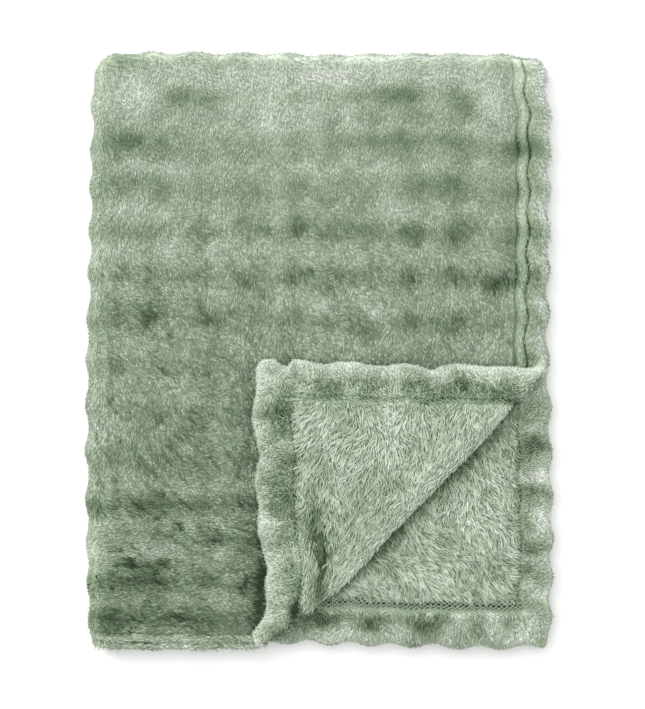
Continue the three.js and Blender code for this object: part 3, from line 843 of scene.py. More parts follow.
# Tones of the face: 0.5 is its middle sage. They carry painted light and shade: lighter towards
# the top and the right, painted shade in the bubbles, the seams and the partings, and painted
# highlights on the rims and the top fold
FACE_TONE = {"middle": 0.52, "per_up": 0.0006, "per_right": 0.0001, "hidden": 0.02}
BUBBLE_SHADE = {"darker": 0.05, "rows": 0.05, "rows_below": -110, "over": 60}
TOP_LIGHT = {"lighter": 0.07, "above": 190, "over": 35}
RIM_LIGHT = {"lighter": 0.16, "width": 5}
TOP_FOLD_LIGHT = {"lighter": 0.2, "before": 2, "width": 3}
SEAM_GROOVE_SHADE = {"width": 1.2, "darker": 0.28}
PARTING = {"closer": 4, "width": 0.1, "darker": 0.1, "where_level": 0.32}

# Welt between the two lines of stitching of the side hem, where the pile is combed along it
WELT = {"at": 20.7, "half": 5, "reach": 5, "lay": -92, "turn": -12, "from": 23, "over": 3}
WELT_SHORTER = 0.4

# Lighter and darker bands of the face, as painted highlights on the welt, the rims and the left
# fold and painted shade before the top fold: the line that each follows, and its distance from it
FACE_BANDS = table("line at wide lighter", [
    ("side", WELT["at"], 3, 0.1),
    ("end", 7, 8, 0.24),
    ("left fold", 0, 11, 0.14),
    ("side", 0, 7, 0.24),
    ("top fold", -8, 6, -0.05),
])

# Coverstitch on the back: painted shade in the holes along it, and a dark band on the layer
# under the flap
STITCH_PITCH = 4.5
HOLE_SHADE = {"darker": 0.55, "width": 1.6, "between": 0.6}
DARK_BAND = {"darker": 0.27, "width": 4.8, "past_side": 6}

# Painted light and shade of the rolled hems on the back: their tone at the seam, how much
# lighter their rim is, and how much darker they are between the two
STRIP_TONES = {
    "flap side": {"seam": 0.63, "rim": 0.31, "low": 0.22},
    "flap end": {"seam": 0.58, "rim": 0.2, "low": 0.08},
    "lower end": {"seam": 0.76, "rim": -0.08, "low": 0.08},
    "lower side": {"seam": 0.7, "rim": 0.12, "low": 0.08},
}
STRIP_SHADE = {"low_at": 0.72, "low_width": 0.24, "rim_width": 0.36, "bubble": 0.05}
# Painted highlight on a ridge of the lower end hem
STRIP_RIDGE = {"at": 6, "width": 1.5, "lighter": 0.2, "past_seam": 2}
BACK_TONE = 0.64


def face_seen(s, t):
    """The top layer with its folds, up to the outline."""
    return (s < left_fold_start + SEEN["past_left"]) & (t < half_length + SEEN["past_top"])


def dark_spots(x, y):
    """Net of spots of painted shade on the upper part of the face, from 0 to 1."""
    rows = sum(bell(y - row, DARK_NET["high"]) for row in DARK_NET["rows"])
    columns = sum(bell(x - column, DARK_NET["wide"]) for column in DARK_NET["columns"])
    share = DARK_NET["between"] + (1 - DARK_NET["between"]) * columns
    return rows * share * smooth((y - DARK_NET["from"]) / DARK_NET["over"])


def seam_line(s, t):
    """Stitching lines of the hems on the face: 1 in a line."""
    lines = np.zeros(np.broadcast(s, t).shape)
    for seam in SEAMS:
        if seam["face"]:
            edge = from_side(s) if seam["hem"] == "side" else from_end(t)
            lines = np.maximum(lines, bell(edge - seam["at"], SEAM_GROOVE_SHADE["width"]))
    return lines


def partings(along, across, x, y):
    """Thin lines between the locks along their lay, for painted shade: 1 in a line."""
    line = uneven("parting", along, across * PARTING["closer"])
    return bell(line, PARTING["width"]) * smooth(0.5 + uneven("parted patch", x, y))


def seen_tone(x, y, s, t):
    """The light and shade painted by the face's swells, dark spots, seams and edges on its tone.
    """
    at_hem = DARK_NET["hem_darker"] * bell(from_side(s) - DARK_NET["hem"], DARK_NET["hem_width"])
    tone = face_swell(s, t, "lighter") - (DARK_NET["darker"] + at_hem) * dark_spots(x, y)
    # Painted shade in the seam grooves
    tone = tone - SEAM_GROOVE_SHADE["darker"] * seam_line(s, t)
    lines = {
        "side": from_side(s),
        "end": from_end(t),
        "left fold": x + folded_width / 2,
        "top fold": t - half_length,
    }
    for band in FACE_BANDS:
        tone = tone + band["lighter"] * bell(lines[band["line"]] - band["at"], band["wide"])
    return tone


def face_tone(points, s, t):
    """Painted light and shade: light at the top, dark at the lower left, in bands and spots."""
    x, y = points[..., 0], points[..., 1]
    tone = FACE_TONE["middle"] + FACE_TONE["per_up"] * y + FACE_TONE["per_right"] * x
    # Painted shade in the bubbles' middles, more in their rows on the lower part
    low = smooth((BUBBLE_SHADE["rows_below"] - y) / BUBBLE_SHADE["over"])
    tone = tone - BUBBLE_SHADE["darker"] * (2 * bubble(s, t) - 1)
    tone = tone - BUBBLE_SHADE["rows"] * low * bubble_wave(BUBBLE_ROWS, CLOTH_LENGTH, t)
    tone = tone + uneven("face tone", x, y)
    tone = tone + TOP_LIGHT["lighter"] * smooth((y - TOP_LIGHT["above"]) / TOP_LIGHT["over"])
    tone = tone + np.where(face_seen(s, t), seen_tone(x, y, s, t), FACE_TONE["hidden"])
    rim = np.minimum(from_side(s), from_end(t))
    tone = tone + RIM_LIGHT["lighter"] * bell(rim, RIM_LIGHT["width"])
    on_fold = bell(t - half_length + TOP_FOLD_LIGHT["before"], TOP_FOLD_LIGHT["width"])
    return tone + np.where(s < half_width, TOP_FOLD_LIGHT["lighter"] * on_fold, 0)


def stitch_tone(s, t):
    """Painted shade: the pile is dark round the holes of the stitches."""
    nearer_side = SIDE_HEM - from_side(s) > end_seam(t) - from_end(t)
    turn = 2 * math.pi * np.where(nearer_side, t, s) / STITCH_PITCH
    holes = HOLE_SHADE["between"] + (1 - HOLE_SHADE["between"]) * np.cos(turn)
    holes = HOLE_SHADE["darker"] * bell(from_seam(s, t), HOLE_SHADE["width"]) * holes
    band = DARK_BAND["darker"] * bell(from_end(t) - LOWER_END_HEM, DARK_BAND["width"])
    band = band * smooth(from_side(s) - SIDE_HEM + DARK_BAND["past_side"])
    return -holes - np.where(t > half_length, band, 0)


def strip_tone(points, s, t):
    """Hem on the back: painted light at its rim, painted shade at its seam and bubbles."""
    x, y = points[..., 0], points[..., 1]
    on_flap = t < half_length
    by_side, by_end = from_side(s) / SIDE_HEM, from_end(t) / end_seam(t)
    lower_end = ~on_flap & (from_end(t) < LOWER_END_HEM + STRIP_RIDGE["past_seam"])
    parts = [on_flap & (by_side < by_end), on_flap, lower_end]
    seam, rim, low = (
        np.select(parts, values[:3], values[3])
        for values in zip(*(part.values() for part in STRIP_TONES.values()))
    )
    edge = np.minimum(by_side, by_end)
    tone = seam - low * bell(edge - STRIP_SHADE["low_at"], STRIP_SHADE["low_width"])
    tone = tone + rim * bell(edge, STRIP_SHADE["rim_width"])
    tone = tone - STRIP_SHADE["bubble"] * (2 * bubble(s, t) - 1)
    tone = tone + uneven("strip tone", x, y) + stitch_tone(s, t)
    ridge = bell(from_seam(s, t) - STRIP_RIDGE["at"], STRIP_RIDGE["width"])
    spots = swells_at(STRIP_SWELLS, "lighter", x, y)
    spots = spots + np.where(lower_end, STRIP_RIDGE["lighter"] * ridge, 0)
    return tone + np.where(on_flap, flap_swells(FLAP_SWELLS, s, t, "lighter"), spots)


def back_tone(points, s, t):
    """Back of the cloth, in the shade of the crease on the layer under the flap."""
    tone = BACK_TONE + uneven("back tone", points[..., 0], points[..., 1]) + stitch_tone(s, t)
    from_crease = (FLAP_LEG - s - from_end(t)) / math.sqrt(2) - CREASE_SHADE["from"]
    shade = CREASE_SHADE["darker"] * bell(np.maximum(from_crease, 0), CREASE_SHADE["reach"])
    return tone + np.where(t < half_length, flap_swells(FLAP_SWELLS, s, t, "lighter"), -shade)


# Painted shade: how much darker the ground is than the pile on it, in its seams too
SHADE_UNDER_PILE = 0.12
GROUND_SHADE = {"face": 0.25, "back": 0.14, "deeper_than": 0.6}
BAKE_MARGIN = 0.005

# Lines of the sheet's net, as spans of one spacing
S_SPANS = [
    (0, 4, 0.8), (4, 34, 2), (34, 246, 3.7), (246, 404, 5.2), (404, 714, 15), (714, 746, 4),
    (746, 750, 0.8),
]
T_SPANS = [
    (0, 4, 0.8), (4, 34, 2), (34, 246, 3.7), (246, 474, 5.2), (474, 506, 1.6), (506, 740, 12),
    (740, 944, 5), (944, 976, 2), (976, 980, 0.8),
]


def net_lines(spans):
    """Lines of a net, even within each span."""
    lines = []
    for start, end, spacing in spans:
        count = round((end - start) / spacing)
        lines.append(start + np.arange(count) * (end - start) / count)
    return np.append(np.concatenate(lines), spans[-1][1])


def make_sheet():
    """The cloth as one closed sheet: its face and its back, which share the points of the rim."""
    s, t = np.meshgrid(net_lines(S_SPANS), net_lines(T_SPANS), indexing="ij")
    face, back = place(s, t, 1) + shift, place(s, t, -1) + shift
    number = np.arange(s.size).reshape(s.shape)
    inner = np.zeros(s.shape, bool)
    inner[1:-1, 1:-1] = True
    other = number.copy()
    other[inner] = s.size + np.arange(inner.sum())
    points = np.concatenate([face.reshape(-1, 3), back[inner]])
    points[:, 2] = np.maximum(points[:, 2], 0)
    # Painted shade under the pile and in the seam grooves of both sides
    over = face_tone(face, s, t) - GROUND_SHADE["face"] * seam_line(s, t)
    under = np.where(is_strip(s, t), strip_tone(back, s, t), back_tone(back, s, t))
    seam = smooth(seam_depth(s, t, False) - GROUND_SHADE["deeper_than"])
    under = under - GROUND_SHADE["back"] * seam
    tone = np.concatenate([over.ravel(), under[inner]]) - SHADE_UNDER_PILE
    half = np.stack([s / CLOTH_WIDTH / 2, t / CLOTH_LENGTH], axis=-1)
    half = half * (1 - 4 * BAKE_MARGIN) + BAKE_MARGIN
    bake_map = np.concatenate([half.reshape(-1, 2), half[inner] + (0.5, 0)])
    faces = []
    for net, side in ((number, 1), (other, -1)):
        a, b, c, d = net[:-1, :-1], net[1:, :-1], net[1:, 1:], net[:-1, 1:]
        pairs = [(a, d, b), (b, d, c)] if side > 0 else [(a, b, d), (b, c, d)]
        faces += [np.stack(pair, axis=-1).reshape(-1, 3) for pair in pairs]
    return mesh_piece(
        "folded_cloth", points, np.concatenate(faces), cloth_finish(), bake_map, tone=tone
    )


def scatter(s_span, t_span, density):
    """Places strewn evenly over part of the flat cloth, with so many to a square millimetre."""
    (s0, s1), (t0, t1) = s_span, t_span
    rows = max(round((s1 - s0) * math.sqrt(density)), 1)
    columns = max(round((t1 - t0) * math.sqrt(density)), 1)
    i, j = np.meshgrid(np.arange(rows), np.arange(columns), indexing="ij")
    s = s0 + (i + rng.random(i.shape)) * (s1 - s0) / rows
    t = t0 + (j + rng.random(j.shape)) * (t1 - t0) / columns
    return s.ravel(), t.ravel()


# The kinds of pile: how many locks stand on a square millimetre, and their length and width. Lift,
# bend and wave are shares of the length, and root and fleck say how much darker a lock is there:
# root as painted shade deep in the pile, fleck as random flecks.
SHORT_PILE, LONG_PILE, HEM_PILE, RIM_PILE = table(
    "name density length width lift bend wave root fleck",
    [
        ("short pile", 0.72, 6.4, 1.1, 0.17, 0.14, 0, 0.24, 0.06),
        ("long pile", 0.43, 11.5, 1.3, 0.2, 0.12, 0.03, 0.42, 0.1),
        ("hem pile", 0.8, 5.2, 1.05, 0.34, 0.18, 0, 0.55, 0.1),
        ("rim pile", 0.85, 2.1, 1.3, 0.16, 0.3, 0, 0.28, 0.1),
    ],
)

# Tufts that the tips of the locks gather into: their size, how far the tips come, and a seed
SHORT_TUFTS, LONG_TUFTS, HEM_TUFTS = table("size pull seed", [
    (3.4, 0.5, 34),
    (5.2, 0.75, 44),
    (3.6, 0.8, 54),
])

# How far single locks differ from their kind: in size, in lay, and in tone by lock and by tuft
SIZE_SPREAD = {"length": 0.32, "width": 0.3, "lift": 0.5}
BEND_SPREAD = 1.7
SHORT_SPREAD, LONG_SPREAD, HEM_SPREAD, RIM_SPREAD = table("lay tone tuft", [
    (0.16, 0.025, 0.05),
    (0.14, 0.05, 0.08),
    (0.3, 0.08, 0.12),
    (0.45, 0.11, 0),
])
UNDER_FLAP_SPREAD = 1.5

# Some locks of the face are thinner, stand up and show the depth of the pile: painted shade makes
# them darker, and the others a little lighter
DEEP_LOCKS = {"share": 0.15, "width": 0.7, "lift": 1.35, "darker": 0.16, "others": -0.02}

# A lock of pile has rings of three points, by their share of its length and of its width. One
# without rings is a blade of four points.
BLADE = []
BLADE_MIDDLE = (0.4, 1.0)
BLADE_FACES = [(0, 1, 2), (1, 3, 2), (0, 3, 1), (0, 2, 3)]
SHORT_RINGS = [(0.38, 1.0)]
LONG_RINGS = [(0.28, 1.0), (0.66, 0.78)]
ROOT_DEPTH = 0.8
LOCK_RIDGE = 1.1
LOCK_FLANK = 0.5
OVER_FLOOR = 0.1

# Each lock has a cell of the bake map: its middle, its two sides, its foot and its height there
CELL = {"middle": 0.5, "sides": [0.15, 0.85], "foot": 0.1, "tall": 0.8}


def even(count):
    return rng.uniform(-1, 1, count)


def lock_sizes(count, pile):
    """Random sizes of the locks of a kind of pile."""
    sizes = {}
    for column, spread in SIZE_SPREAD.items():
        sizes[column] = pile[column] * (1 + spread * even(count))
    for column in ("bend", "wave"):
        sizes[column] = pile[column] * BEND_SPREAD * even(count)
    return sizes


def make_locks(name, material, rings, roots, ways, outs, sizes, tone):
    """Joined mesh of tapered locks, each closed at its root and its tip."""
    columns = ("length", "width", "lift", "bend", "wave")
    length, width, lift, bend, wave = (sizes[column][:, None] for column in columns)
    across = np.cross(ways, outs)
    count = len(roots)

    def spine(share):
        rise = lift * share * (2 - share)
        aside = bend * share ** 2 + wave * math.sin(2 * math.pi * share)
        return roots + length * (ways * share + outs * rise + across * aside)

    layers = [roots - outs * ROOT_DEPTH]
    along = [np.zeros(count)]
    for share, thick in rings or [BLADE_MIDDLE]:
        middle, half = spine(share), width * thick / 2
        if rings:
            layers.append(middle + outs * half * LOCK_RIDGE)
        layers += [middle + (across * sign - outs * LOCK_FLANK) * half for sign in (1, -1)]
        along += [np.full(count, share)] * (3 if rings else 2)
    layers.append(spine(1.0))
    along.append(np.ones(count))

    points = np.stack(layers, axis=1)
    points[..., 2] = np.maximum(points[..., 2], OVER_FLOOR)
    tip = len(layers) - 1
    ring = [(1, 3), (3, 2), (2, 1)]
    lock = [(0, a, b) for a, b in ring]
    for k in range(3, tip - 1, 3):
        for a, b in ring:
            lock += [(a + k - 3, a + k, b + k), (a + k - 3, b + k, b + k - 3)]
    lock += [(a + tip - 4, tip, b + tip - 4) for a, b in ring]
    lock = np.array(lock if rings else BLADE_FACES)
    faces = lock[None] + (np.arange(count) * (tip + 1))[:, None, None]

    cells = math.ceil(math.sqrt(count))
    corner = np.stack([np.arange(count) % cells, np.arange(count) // cells], axis=-1)
    ring_beside = [CELL["middle"], *CELL["sides"]] * len(rings) or CELL["sides"]
    beside = np.array([CELL["middle"], *ring_beside, CELL["middle"]])
    up = CELL["foot"] + CELL["tall"] * np.stack(along, axis=1)
    inside = np.stack([np.broadcast_to(beside, up.shape), up], axis=-1)
    bake_map = (corner[:, None] + inside) / cells
    tones = np.broadcast_to(tone[:, None], up.shape)
    return mesh_piece(
        name, points.reshape(-1, 3), faces.reshape(-1, 3), material, bake_map.reshape(-1, 2),
        tone=tones, along=np.stack(along, axis=1),
    )


# How the pile leans out at the outline, less at its lower side, and hangs where the cloth is steep
OUTLINE = {"reach": 14, "lower": 0.2}
HANG = 1.6
FACE_SPILL = 0.55


def combed(angle, points, outs, spill):
    """Ways of locks that lie at an angle seen from above, lean out at the outline and hang down
    where the cloth is steep."""
    right, up, reach = points[:, 0], points[:, 1], OUTLINE["reach"]
    half_x, half_y = folded_width / 2, folded_length / 2
    way = np.stack([np.cos(angle), np.sin(angle), np.zeros(len(angle))], axis=1)
    way[:, 0] += spill * (bell(right - half_x, reach) - bell(right + half_x, reach))
    lower = OUTLINE["lower"] * bell(up + half_y, reach)
    way[:, 1] += spill * (bell(up - half_y, reach) - lower)
    way[:, 2] -= HANG * (1 - np.abs(outs[:, 2]))
    return unit(way - outs * (way * outs).sum(1, keepdims=True))


def turned(ways, outs, angle):
    """Ways turned about the way out of the cloth."""
    across = np.cross(outs, ways)
    return ways * np.cos(angle)[:, None] + across * np.sin(angle)[:, None]


def shorter(sizes, share):
    sizes["length"] = sizes["length"] * share
    return sizes


def gathered(ways, points, outs, length, tuft):
    """Ways of locks whose tips gather into tufts, and a random value of each tuft."""
    dx, dy, value = tufts(points[:, 0], points[:, 1], tuft["size"], tuft["seed"])
    to_middle = np.stack([dx, dy, np.zeros(len(dx))], axis=1) * tuft["pull"] / length
    to_middle = to_middle * np.abs(outs[:, 2:3]) ** 2
    ways = unit(ways + to_middle - outs * (to_middle * outs).sum(1, keepdims=True))
    return ways, value


# Lay of the face's pile in degrees: down and right, more so at the left, level at the lower left
FACE_LAY = {"plain": -66, "left": 18, "lower_left": 58, "swirl_less": 0.35}
LEFT_PART = {"x": -20, "wide": 90, "y": 130, "high": 60}
LOWER_LEFT_PART = {"x": 20, "wide": 60, "y": -60, "high": 110}

# Where locks of the face stand, and how much calmer and shorter they are in some places
FACE_PLACES = {"rim": 0.6, "past_left": 6, "past_top": 4, "under_flap": 10, "on_crease": 3}
SEAM_FREE = 1.85
CALM_TOP = {"share": 0.45, "above": 160, "over": 110}
STEEP_LENGTH = 0.55
STROKE_LENGTH = 0.4


def in_part(part, x, y):
    """How far a place lies in a part of the face, from 0 to 1."""
    return smooth((part["x"] - x) / part["wide"]) * smooth((part["y"] - y) / part["high"])


def face_lay(x, y):
    """Lay of the face's pile without its swirls."""
    left = FACE_LAY["left"] * in_part(LEFT_PART, x, y)
    level = (FACE_LAY["lower_left"] - left) * in_part(LOWER_LEFT_PART, x, y)
    return np.radians(FACE_LAY["plain"] + left + level)


def face_places():
    """Places of the face that show, also round the folds, but not in its seams."""
    far_left = left_fold_end + FACE_PLACES["past_left"]
    far_top = top_fold_end + FACE_PLACES["past_top"]
    rim, density = FACE_PLACES["rim"], SHORT_PILE["density"]
    s, t = scatter((rim, far_left), (rim, far_top), density)
    past = past_flap_fold(s, t)
    under_flap = (np.maximum(s, t) < FLAP_LEG - FACE_PLACES["under_flap"]) & (past < 0)
    in_seam = face_seen(s, t) & (seam_depth(s, t, True) > SEAM_FREE)
    shown = (past < FACE_PLACES["on_crease"]) & ~under_flap & ~in_seam
    lower_row = (top_fold_start - FACE_PLACES["past_top"], far_top)
    more = scatter((far_left, CLOTH_WIDTH - 1), lower_row, density)
    return np.append(s[shown], more[0]), np.append(t[shown], more[1])


def welt_share(s, t):
    """The welt of the side hem and the stitching beside it, from 0 to 1."""
    past_welt = np.maximum(np.abs(from_side(s) - WELT["at"]) - WELT["half"], 0)
    return np.where(face_seen(s, t), bell(past_welt, WELT["reach"]), 0)


def face_angle(s, x, y, on_welt):
    """Lay of the face's pile with its swirls. It is combed along the welt."""
    lay = face_lay(x, y)
    angle = lay + uneven("face lay", x, y) * (1 - FACE_LAY["swirl_less"] * np.cos(lay) ** 2)
    outside = smooth((from_side(s) - WELT["from"]) / WELT["over"])
    along_welt = np.radians(WELT["lay"] + WELT["turn"] * outside)
    return angle + (along_welt - angle) * on_welt


def face_variety(x, y, tuft, deep):
    """How the tone of single locks of the face differs. It is calmer at the top."""
    lay = face_lay(x, y)
    along, across = x * np.cos(lay) + y * np.sin(lay), y * np.cos(lay) - x * np.sin(lay)
    unlike = SHORT_SPREAD["tone"] * rng.standard_normal(len(x)) + SHORT_SPREAD["tuft"] * tuft
    unlike = unlike - np.where(deep, DEEP_LOCKS["darker"], DEEP_LOCKS["others"])
    unlike = unlike + uneven("face strokes", STROKE_LENGTH * along, across)
    # Painted shade in the partings between the locks
    parted = PARTING["darker"] + PARTING["where_level"] * np.cos(lay) ** 2
    unlike = unlike - parted * partings(along, across, x, y)
    calm = smooth((CALM_TOP["above"] - y) / CALM_TOP["over"])
    return unlike * (CALM_TOP["share"] + (1 - CALM_TOP["share"]) * calm)


def face_pile():
    """Short pile of the face, also round the folds, in three pieces. It parts at the seams."""
    s, t = face_places()
    points, _, _, outs = surface(s, t, 1)
    x, y = points[:, 0], points[:, 1]
    count = len(s)
    on_welt = welt_share(s, t)
    angle = face_angle(s, x, y, on_welt) + SHORT_SPREAD["lay"] * rng.standard_normal(count)
    ways = combed(angle, points, outs, FACE_SPILL)
    ways, tuft = gathered(ways, points, outs, SHORT_PILE["length"], SHORT_TUFTS)
    flat = STEEP_LENGTH + (1 - STEEP_LENGTH) * np.abs(outs[:, 2])
    sizes = shorter(lock_sizes(count, SHORT_PILE), flat * (1 - WELT_SHORTER * on_welt))
    deep = rng.random(count) < DEEP_LOCKS["share"]
    for column in ("width", "lift"):
        sizes[column] = sizes[column] * np.where(deep, DEEP_LOCKS[column], 1)
    tone = face_tone(points, s, t) + face_variety(x, y, tuft, deep)
    material = pile_finish(SHORT_PILE)
    made = []
    for k, part in enumerate(np.array_split(np.argsort(t, kind="stable"), 3)):
        part_sizes = {column: size[part] for column, size in sizes.items()}
        made.append(make_locks(f"face_pile_{k + 1}", material, BLADE, points[part], ways[part],
                               outs[part], part_sizes, tone[part]))
    return made


# Lay of the back's pile in degrees: to the lower left on the flap, to the lower right under it
BACK_LAY = {"flap": -108, "lower": -52}
BACK_PLACES = {"wide": 14, "past_crease": -2, "under_crease": 12, "from_seam": 0.5}

# The long pile is laid along the fold of the flap and along the band, and is shorter there.
# On the fold it is also lower, and painted lighter as a highlight on the fold's edge.
NEAR_FOLD = {"lay": -134, "turn": 0.85, "reach": 9, "shorter": 0.4, "lower": 0.5, "lighter": 0.12}
NEAR_BAND = {"lay": -24, "turn": 0.8, "reach": 9, "shorter": 0.3}
NEAR_SEAM = {"length": 0.5, "over": 10}
TUFT_BEND = 0.1


def flap_places(density):
    """Places strewn over the back of the flap and over the layer under it."""
    leg = FLAP_LEG + BACK_PLACES["wide"]
    s, t = scatter((0, leg), (0, leg), density)
    on_flap = past_flap_fold(s, t) > BACK_PLACES["past_crease"]
    on_lower = s + t < FLAP_LEG + BACK_PLACES["under_crease"]
    s, t = np.append(s[on_flap], s[on_lower]), np.append(t[on_flap], CLOTH_LENGTH - t[on_lower])
    above_seam = from_end(t) - LOWER_END_HEM
    in_band = (t > half_length) & (above_seam < CLEAR_BAND["above"])
    in_band = in_band & (above_seam > -CLEAR_BAND["below"])
    return s[~in_band], t[~in_band]


def back_angle(x, y, flap, on_fold, on_band):
    """Lay of the back's pile with its swirls, along the fold and along the band."""
    angle = np.radians(np.where(flap, BACK_LAY["flap"], BACK_LAY["lower"]))
    angle = angle + uneven("back lay", x, y)
    for near, share in ((NEAR_FOLD, on_fold), (NEAR_BAND, on_band)):
        angle = angle + (np.radians(near["lay"]) - angle) * share * near["turn"]
    return angle


def back_pile():
    """Long pile of the back, on the flap and its fold and on the layer under it."""
    s, t = flap_places(LONG_PILE["density"])
    body = from_seam(s, t) < -BACK_PLACES["from_seam"]
    s, t = s[body], t[body]
    points, _, _, outs = surface(s, t, -1)
    x, y = points[:, 0], points[:, 1]
    count = len(s)
    flap = t < half_length
    from_crease = past_flap_fold(s, t) - flap_fold_length / 2
    on_fold = np.where(flap, bell(from_crease, NEAR_FOLD["reach"]), 0)
    on_band = np.where(flap, 0, bell(from_end(t) - LOWER_END_HEM, NEAR_BAND["reach"]))
    angle = back_angle(x, y, flap, on_fold, on_band)
    angle = angle + LONG_SPREAD["lay"] * rng.standard_normal(count)
    ways = combed(angle, points, outs, 0)
    ways, tuft = gathered(ways, points, outs, LONG_PILE["length"], LONG_TUFTS)
    sizes = lock_sizes(count, LONG_PILE)
    sizes["bend"] = sizes["bend"] + uneven("back bend", x, y) + TUFT_BEND * tuft
    sizes["wave"] = sizes["wave"] + uneven("back wave", x, y)
    sizes["lift"] = sizes["lift"] * (1 - NEAR_FOLD["lower"] * on_fold)
    inside = smooth(-from_seam(s, t) / NEAR_SEAM["over"])
    share = NEAR_SEAM["length"] + (1 - NEAR_SEAM["length"]) * inside
    share = share * (1 - NEAR_FOLD["shorter"] * on_fold) * (1 - NEAR_BAND["shorter"] * on_band)
    sizes = shorter(sizes, share)
    unlike = LONG_SPREAD["tone"] * rng.standard_normal(count) + LONG_SPREAD["tuft"] * tuft
    unlike = unlike * np.where(flap, 1, UNDER_FLAP_SPREAD)
    # Painted highlight along the fold of the flap
    tone = back_tone(points, s, t) + NEAR_FOLD["lighter"] * on_fold + unlike
    material = pile_finish(LONG_PILE)
    return [make_locks("back_pile", material, LONG_RINGS, points, ways, outs, sizes, tone)]


def outward(s, t, along_s, along_t):
    """Way out over the hem, turning from one hem to the other at a corner."""
    side_pull, end_pull = (from_side(s) + 1) ** -2.0, (from_end(t) + 1) ** -2.0
    share = (side_pull / (side_pull + end_pull))[:, None]
    side_way = np.where((s < half_width)[:, None], -along_s, along_s)
    end_way = np.where((t < half_length)[:, None], -along_t, along_t)
    return unit(side_way * share + end_way * (1 - share))


# The pile of a hem stands from its rim to a little past its seam, and is shorter at both
HEM_PLACES = {"rim": 2.5, "past_seam": 2.5}
AT_HEM_SEAM = {"length": 0.5, "from": 1, "over": 5}
AT_HEM_RIM = {"length": 0.6, "from": 3, "over": 6}


def grown(share, distance):
    """Length of the locks as a share, growing with the distance from an edge."""
    return share["length"] + (1 - share["length"]) * smooth(
        (distance - share["from"]) / share["over"]
    )


def strip_pile():
    """Short pile of the hems that show on the back, and the tufts between their stitches."""
    s, t = flap_places(HEM_PILE["density"])
    strip = from_seam(s, t) > -HEM_PLACES["past_seam"]
    strip = strip & (np.minimum(from_side(s), from_end(t)) > HEM_PLACES["rim"])
    s, t = s[strip], t[strip]
    points, along_s, along_t, outs = surface(s, t, -1)
    count = len(s)
    x, y = points[:, 0], points[:, 1]
    turn = uneven("strip lay", x, y) + HEM_SPREAD["lay"] * rng.standard_normal(count)
    ways = turned(outward(s, t, along_s, along_t), outs, turn)
    ways, tuft = gathered(ways, points, outs, HEM_PILE["length"], HEM_TUFTS)
    sizes = shorter(lock_sizes(count, HEM_PILE), grown(AT_HEM_SEAM, from_seam(s, t)))
    sizes = shorter(sizes, grown(AT_HEM_RIM, np.minimum(from_side(s), from_end(t))))
    tone = strip_tone(points, s, t) + HEM_SPREAD["tone"] * rng.standard_normal(count)
    tone = tone + HEM_SPREAD["tuft"] * tuft
    material = pile_finish(HEM_PILE)
    return [make_locks("hem_pile", material, SHORT_RINGS, points, ways, outs, sizes, tone)]


# Pile of the rims: the strip that it stands on, how it is turned from the way out, and its tone,
# which painted shade makes darker towards the floor
RIM = {"from": 0.3, "to": 4, "turn": 0.6}
RIM_TONE = {"plain": 0.68, "darker": 0.08, "below": 26, "over": 12}


def rim_spans():
    """The four rims of the flat cloth, as spans of s and t."""
    near, deep = RIM["from"], RIM["to"]
    across, along = (deep, CLOTH_WIDTH - deep), (deep, CLOTH_LENGTH - deep)
    return [
        ((near, deep), along),
        ((CLOTH_WIDTH - deep, CLOTH_WIDTH - near), along),
        (across, (near, deep)),
        (across, (CLOTH_LENGTH - deep, CLOTH_LENGTH - near)),
    ]


def rim_pile():
    """Pile that stands out over the rims of the hems, on both sides of the cloth."""
    made = []
    material = pile_finish(RIM_PILE)
    for side, name in ((1, "rim_pile_face"), (-1, "rim_pile_back")):
        strewn = [scatter(*span, RIM_PILE["density"]) for span in rim_spans()]
        s, t = (np.concatenate([places[k] for places in strewn]) for k in (0, 1))
        points, along_s, along_t, outs = surface(s, t, side)
        count = len(s)
        turn = RIM["turn"] + RIM_SPREAD["lay"] * rng.standard_normal(count)
        ways = turned(outward(s, t, along_s, along_t), outs, turn)
        sizes = lock_sizes(count, RIM_PILE)
        tone = RIM_TONE["plain"] + RIM_SPREAD["tone"] * rng.standard_normal(count)
        tone = tone + uneven("rim tone", points[:, 0], points[:, 1])
        # Painted shade towards the floor
        low = smooth((RIM_TONE["below"] - points[:, 2]) / RIM_TONE["over"])
        tone = tone - RIM_TONE["darker"] * low
        made.append(make_locks(name, material, BLADE, points, ways, outs, sizes, tone))
    return made


def tube(name, lines, outs, radius, sides, material):
    """Joined mesh of closed thin tubes, one along each line of points."""
    points, faces, start = [], [], 0
    turn = np.arange(sides) * 2 * math.pi / sides
    for line, out in zip(lines, outs):
        ways = unit(np.gradient(line, axis=0))
        across = unit(np.cross(ways, out))
        over = np.cross(across, ways)
        wide = across[:, None] * np.cos(turn)[None, :, None]
        high = over[:, None] * np.sin(turn)[None, :, None]
        rings = line[:, None] + radius * (wide + high)
        count = len(line)
        points.append(rings.reshape(-1, 3))
        for k in range(sides):
            a = start + np.arange(count - 1) * sides + k
            b = start + np.arange(count - 1) * sides + (k + 1) % sides
            faces += [np.stack([a, b, b + sides], 1), np.stack([a, b + sides, a + sides], 1)]
        for k in range(1, sides - 1):
            first, last = start, start + (count - 1) * sides
            ends = [[first, first + k + 1, first + k], [last, last + k, last + k + 1]]
            faces.append(np.array(ends))
        start += count * sides
    return mesh_piece(name, np.concatenate(points), np.concatenate(faces), material)


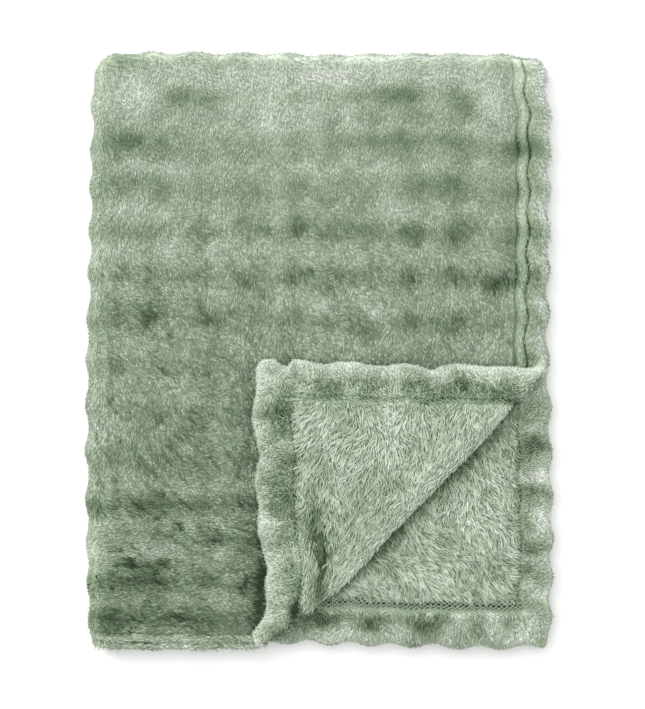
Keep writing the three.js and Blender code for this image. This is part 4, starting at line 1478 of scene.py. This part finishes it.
# Coverstitch on the back of the hems: zigzags over each seam, at this height over the ground
THREAD = {"radius": 0.5, "sides": 4, "crossing": 0.45, "steps": 6}
LOWER_SEAM = CLOTH_LENGTH - LOWER_END_HEM
STITCH_ROWS = table("along at from to half above", [
    ("t", SIDE_HEM, 4, 201, 1.2, 0.15),
    ("s", END_HEM, 4, 197, 1.6, 0.3),
    ("t", SIDE_HEM, 764, 942, 1.2, 0.15),
    ("s", LOWER_SEAM - 3.8, 5, 212, 1.9, 1.5),
    ("s", LOWER_SEAM, 5, 212, 1.9, 1.5),
    ("s", LOWER_SEAM + 3.8, 5, 212, 1.9, 1.4),
])


def coverstitch():
    """Two crossing zigzags of thread over each seam that shows on the back."""
    lines, outs = [], []
    for row in STITCH_ROWS:
        steps = round((row["to"] - row["from"]) / STITCH_PITCH) * THREAD["steps"]
        along = np.linspace(row["from"], row["to"], steps + 1)
        turn = math.pi * (along - row["from"]) / STITCH_PITCH
        for start in (0, math.pi):
            beside = row["at"] + row["half"] * np.sin(turn + start)
            s, t = (beside, along) if row["along"] == "t" else (along, beside)
            points, _, _, out = surface(s, t, -1)
            above = row["above"] + THREAD["crossing"] * np.cos(turn + start)[:, None]
            lines.append(points + out * above)
            outs.append(out)
    material = thread_finish()
    return tube("coverstitch", lines, outs, THREAD["radius"], THREAD["sides"], material)


# Lines across and along the cloth that are enough to measure its outline
ROUGH_NET = (151, 197)


def to_solid():
    """Way from the middle of the folded sheet's outline to the middle of the solid's."""
    s, t = np.meshgrid(*(
        np.linspace(0, length, lines)
        for length, lines in zip((CLOTH_WIDTH, CLOTH_LENGTH), ROUGH_NET)
    ))
    points = np.concatenate([place(s, t, side).reshape(-1, 3) for side in (1, -1)])
    low, high = (np.array(corner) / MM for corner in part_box("blanket"))
    way = (low + high) / 2 - (points.min(0) + points.max(0)) / 2
    return way * (1, 1, 0)


make_camera()
make_studio()

shift = to_solid()

cloth = make_sheet()
pile = [*face_pile(), *back_pile(), *strip_pile(), *rim_pile()]
stitches = coverstitch()
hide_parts("blanket")
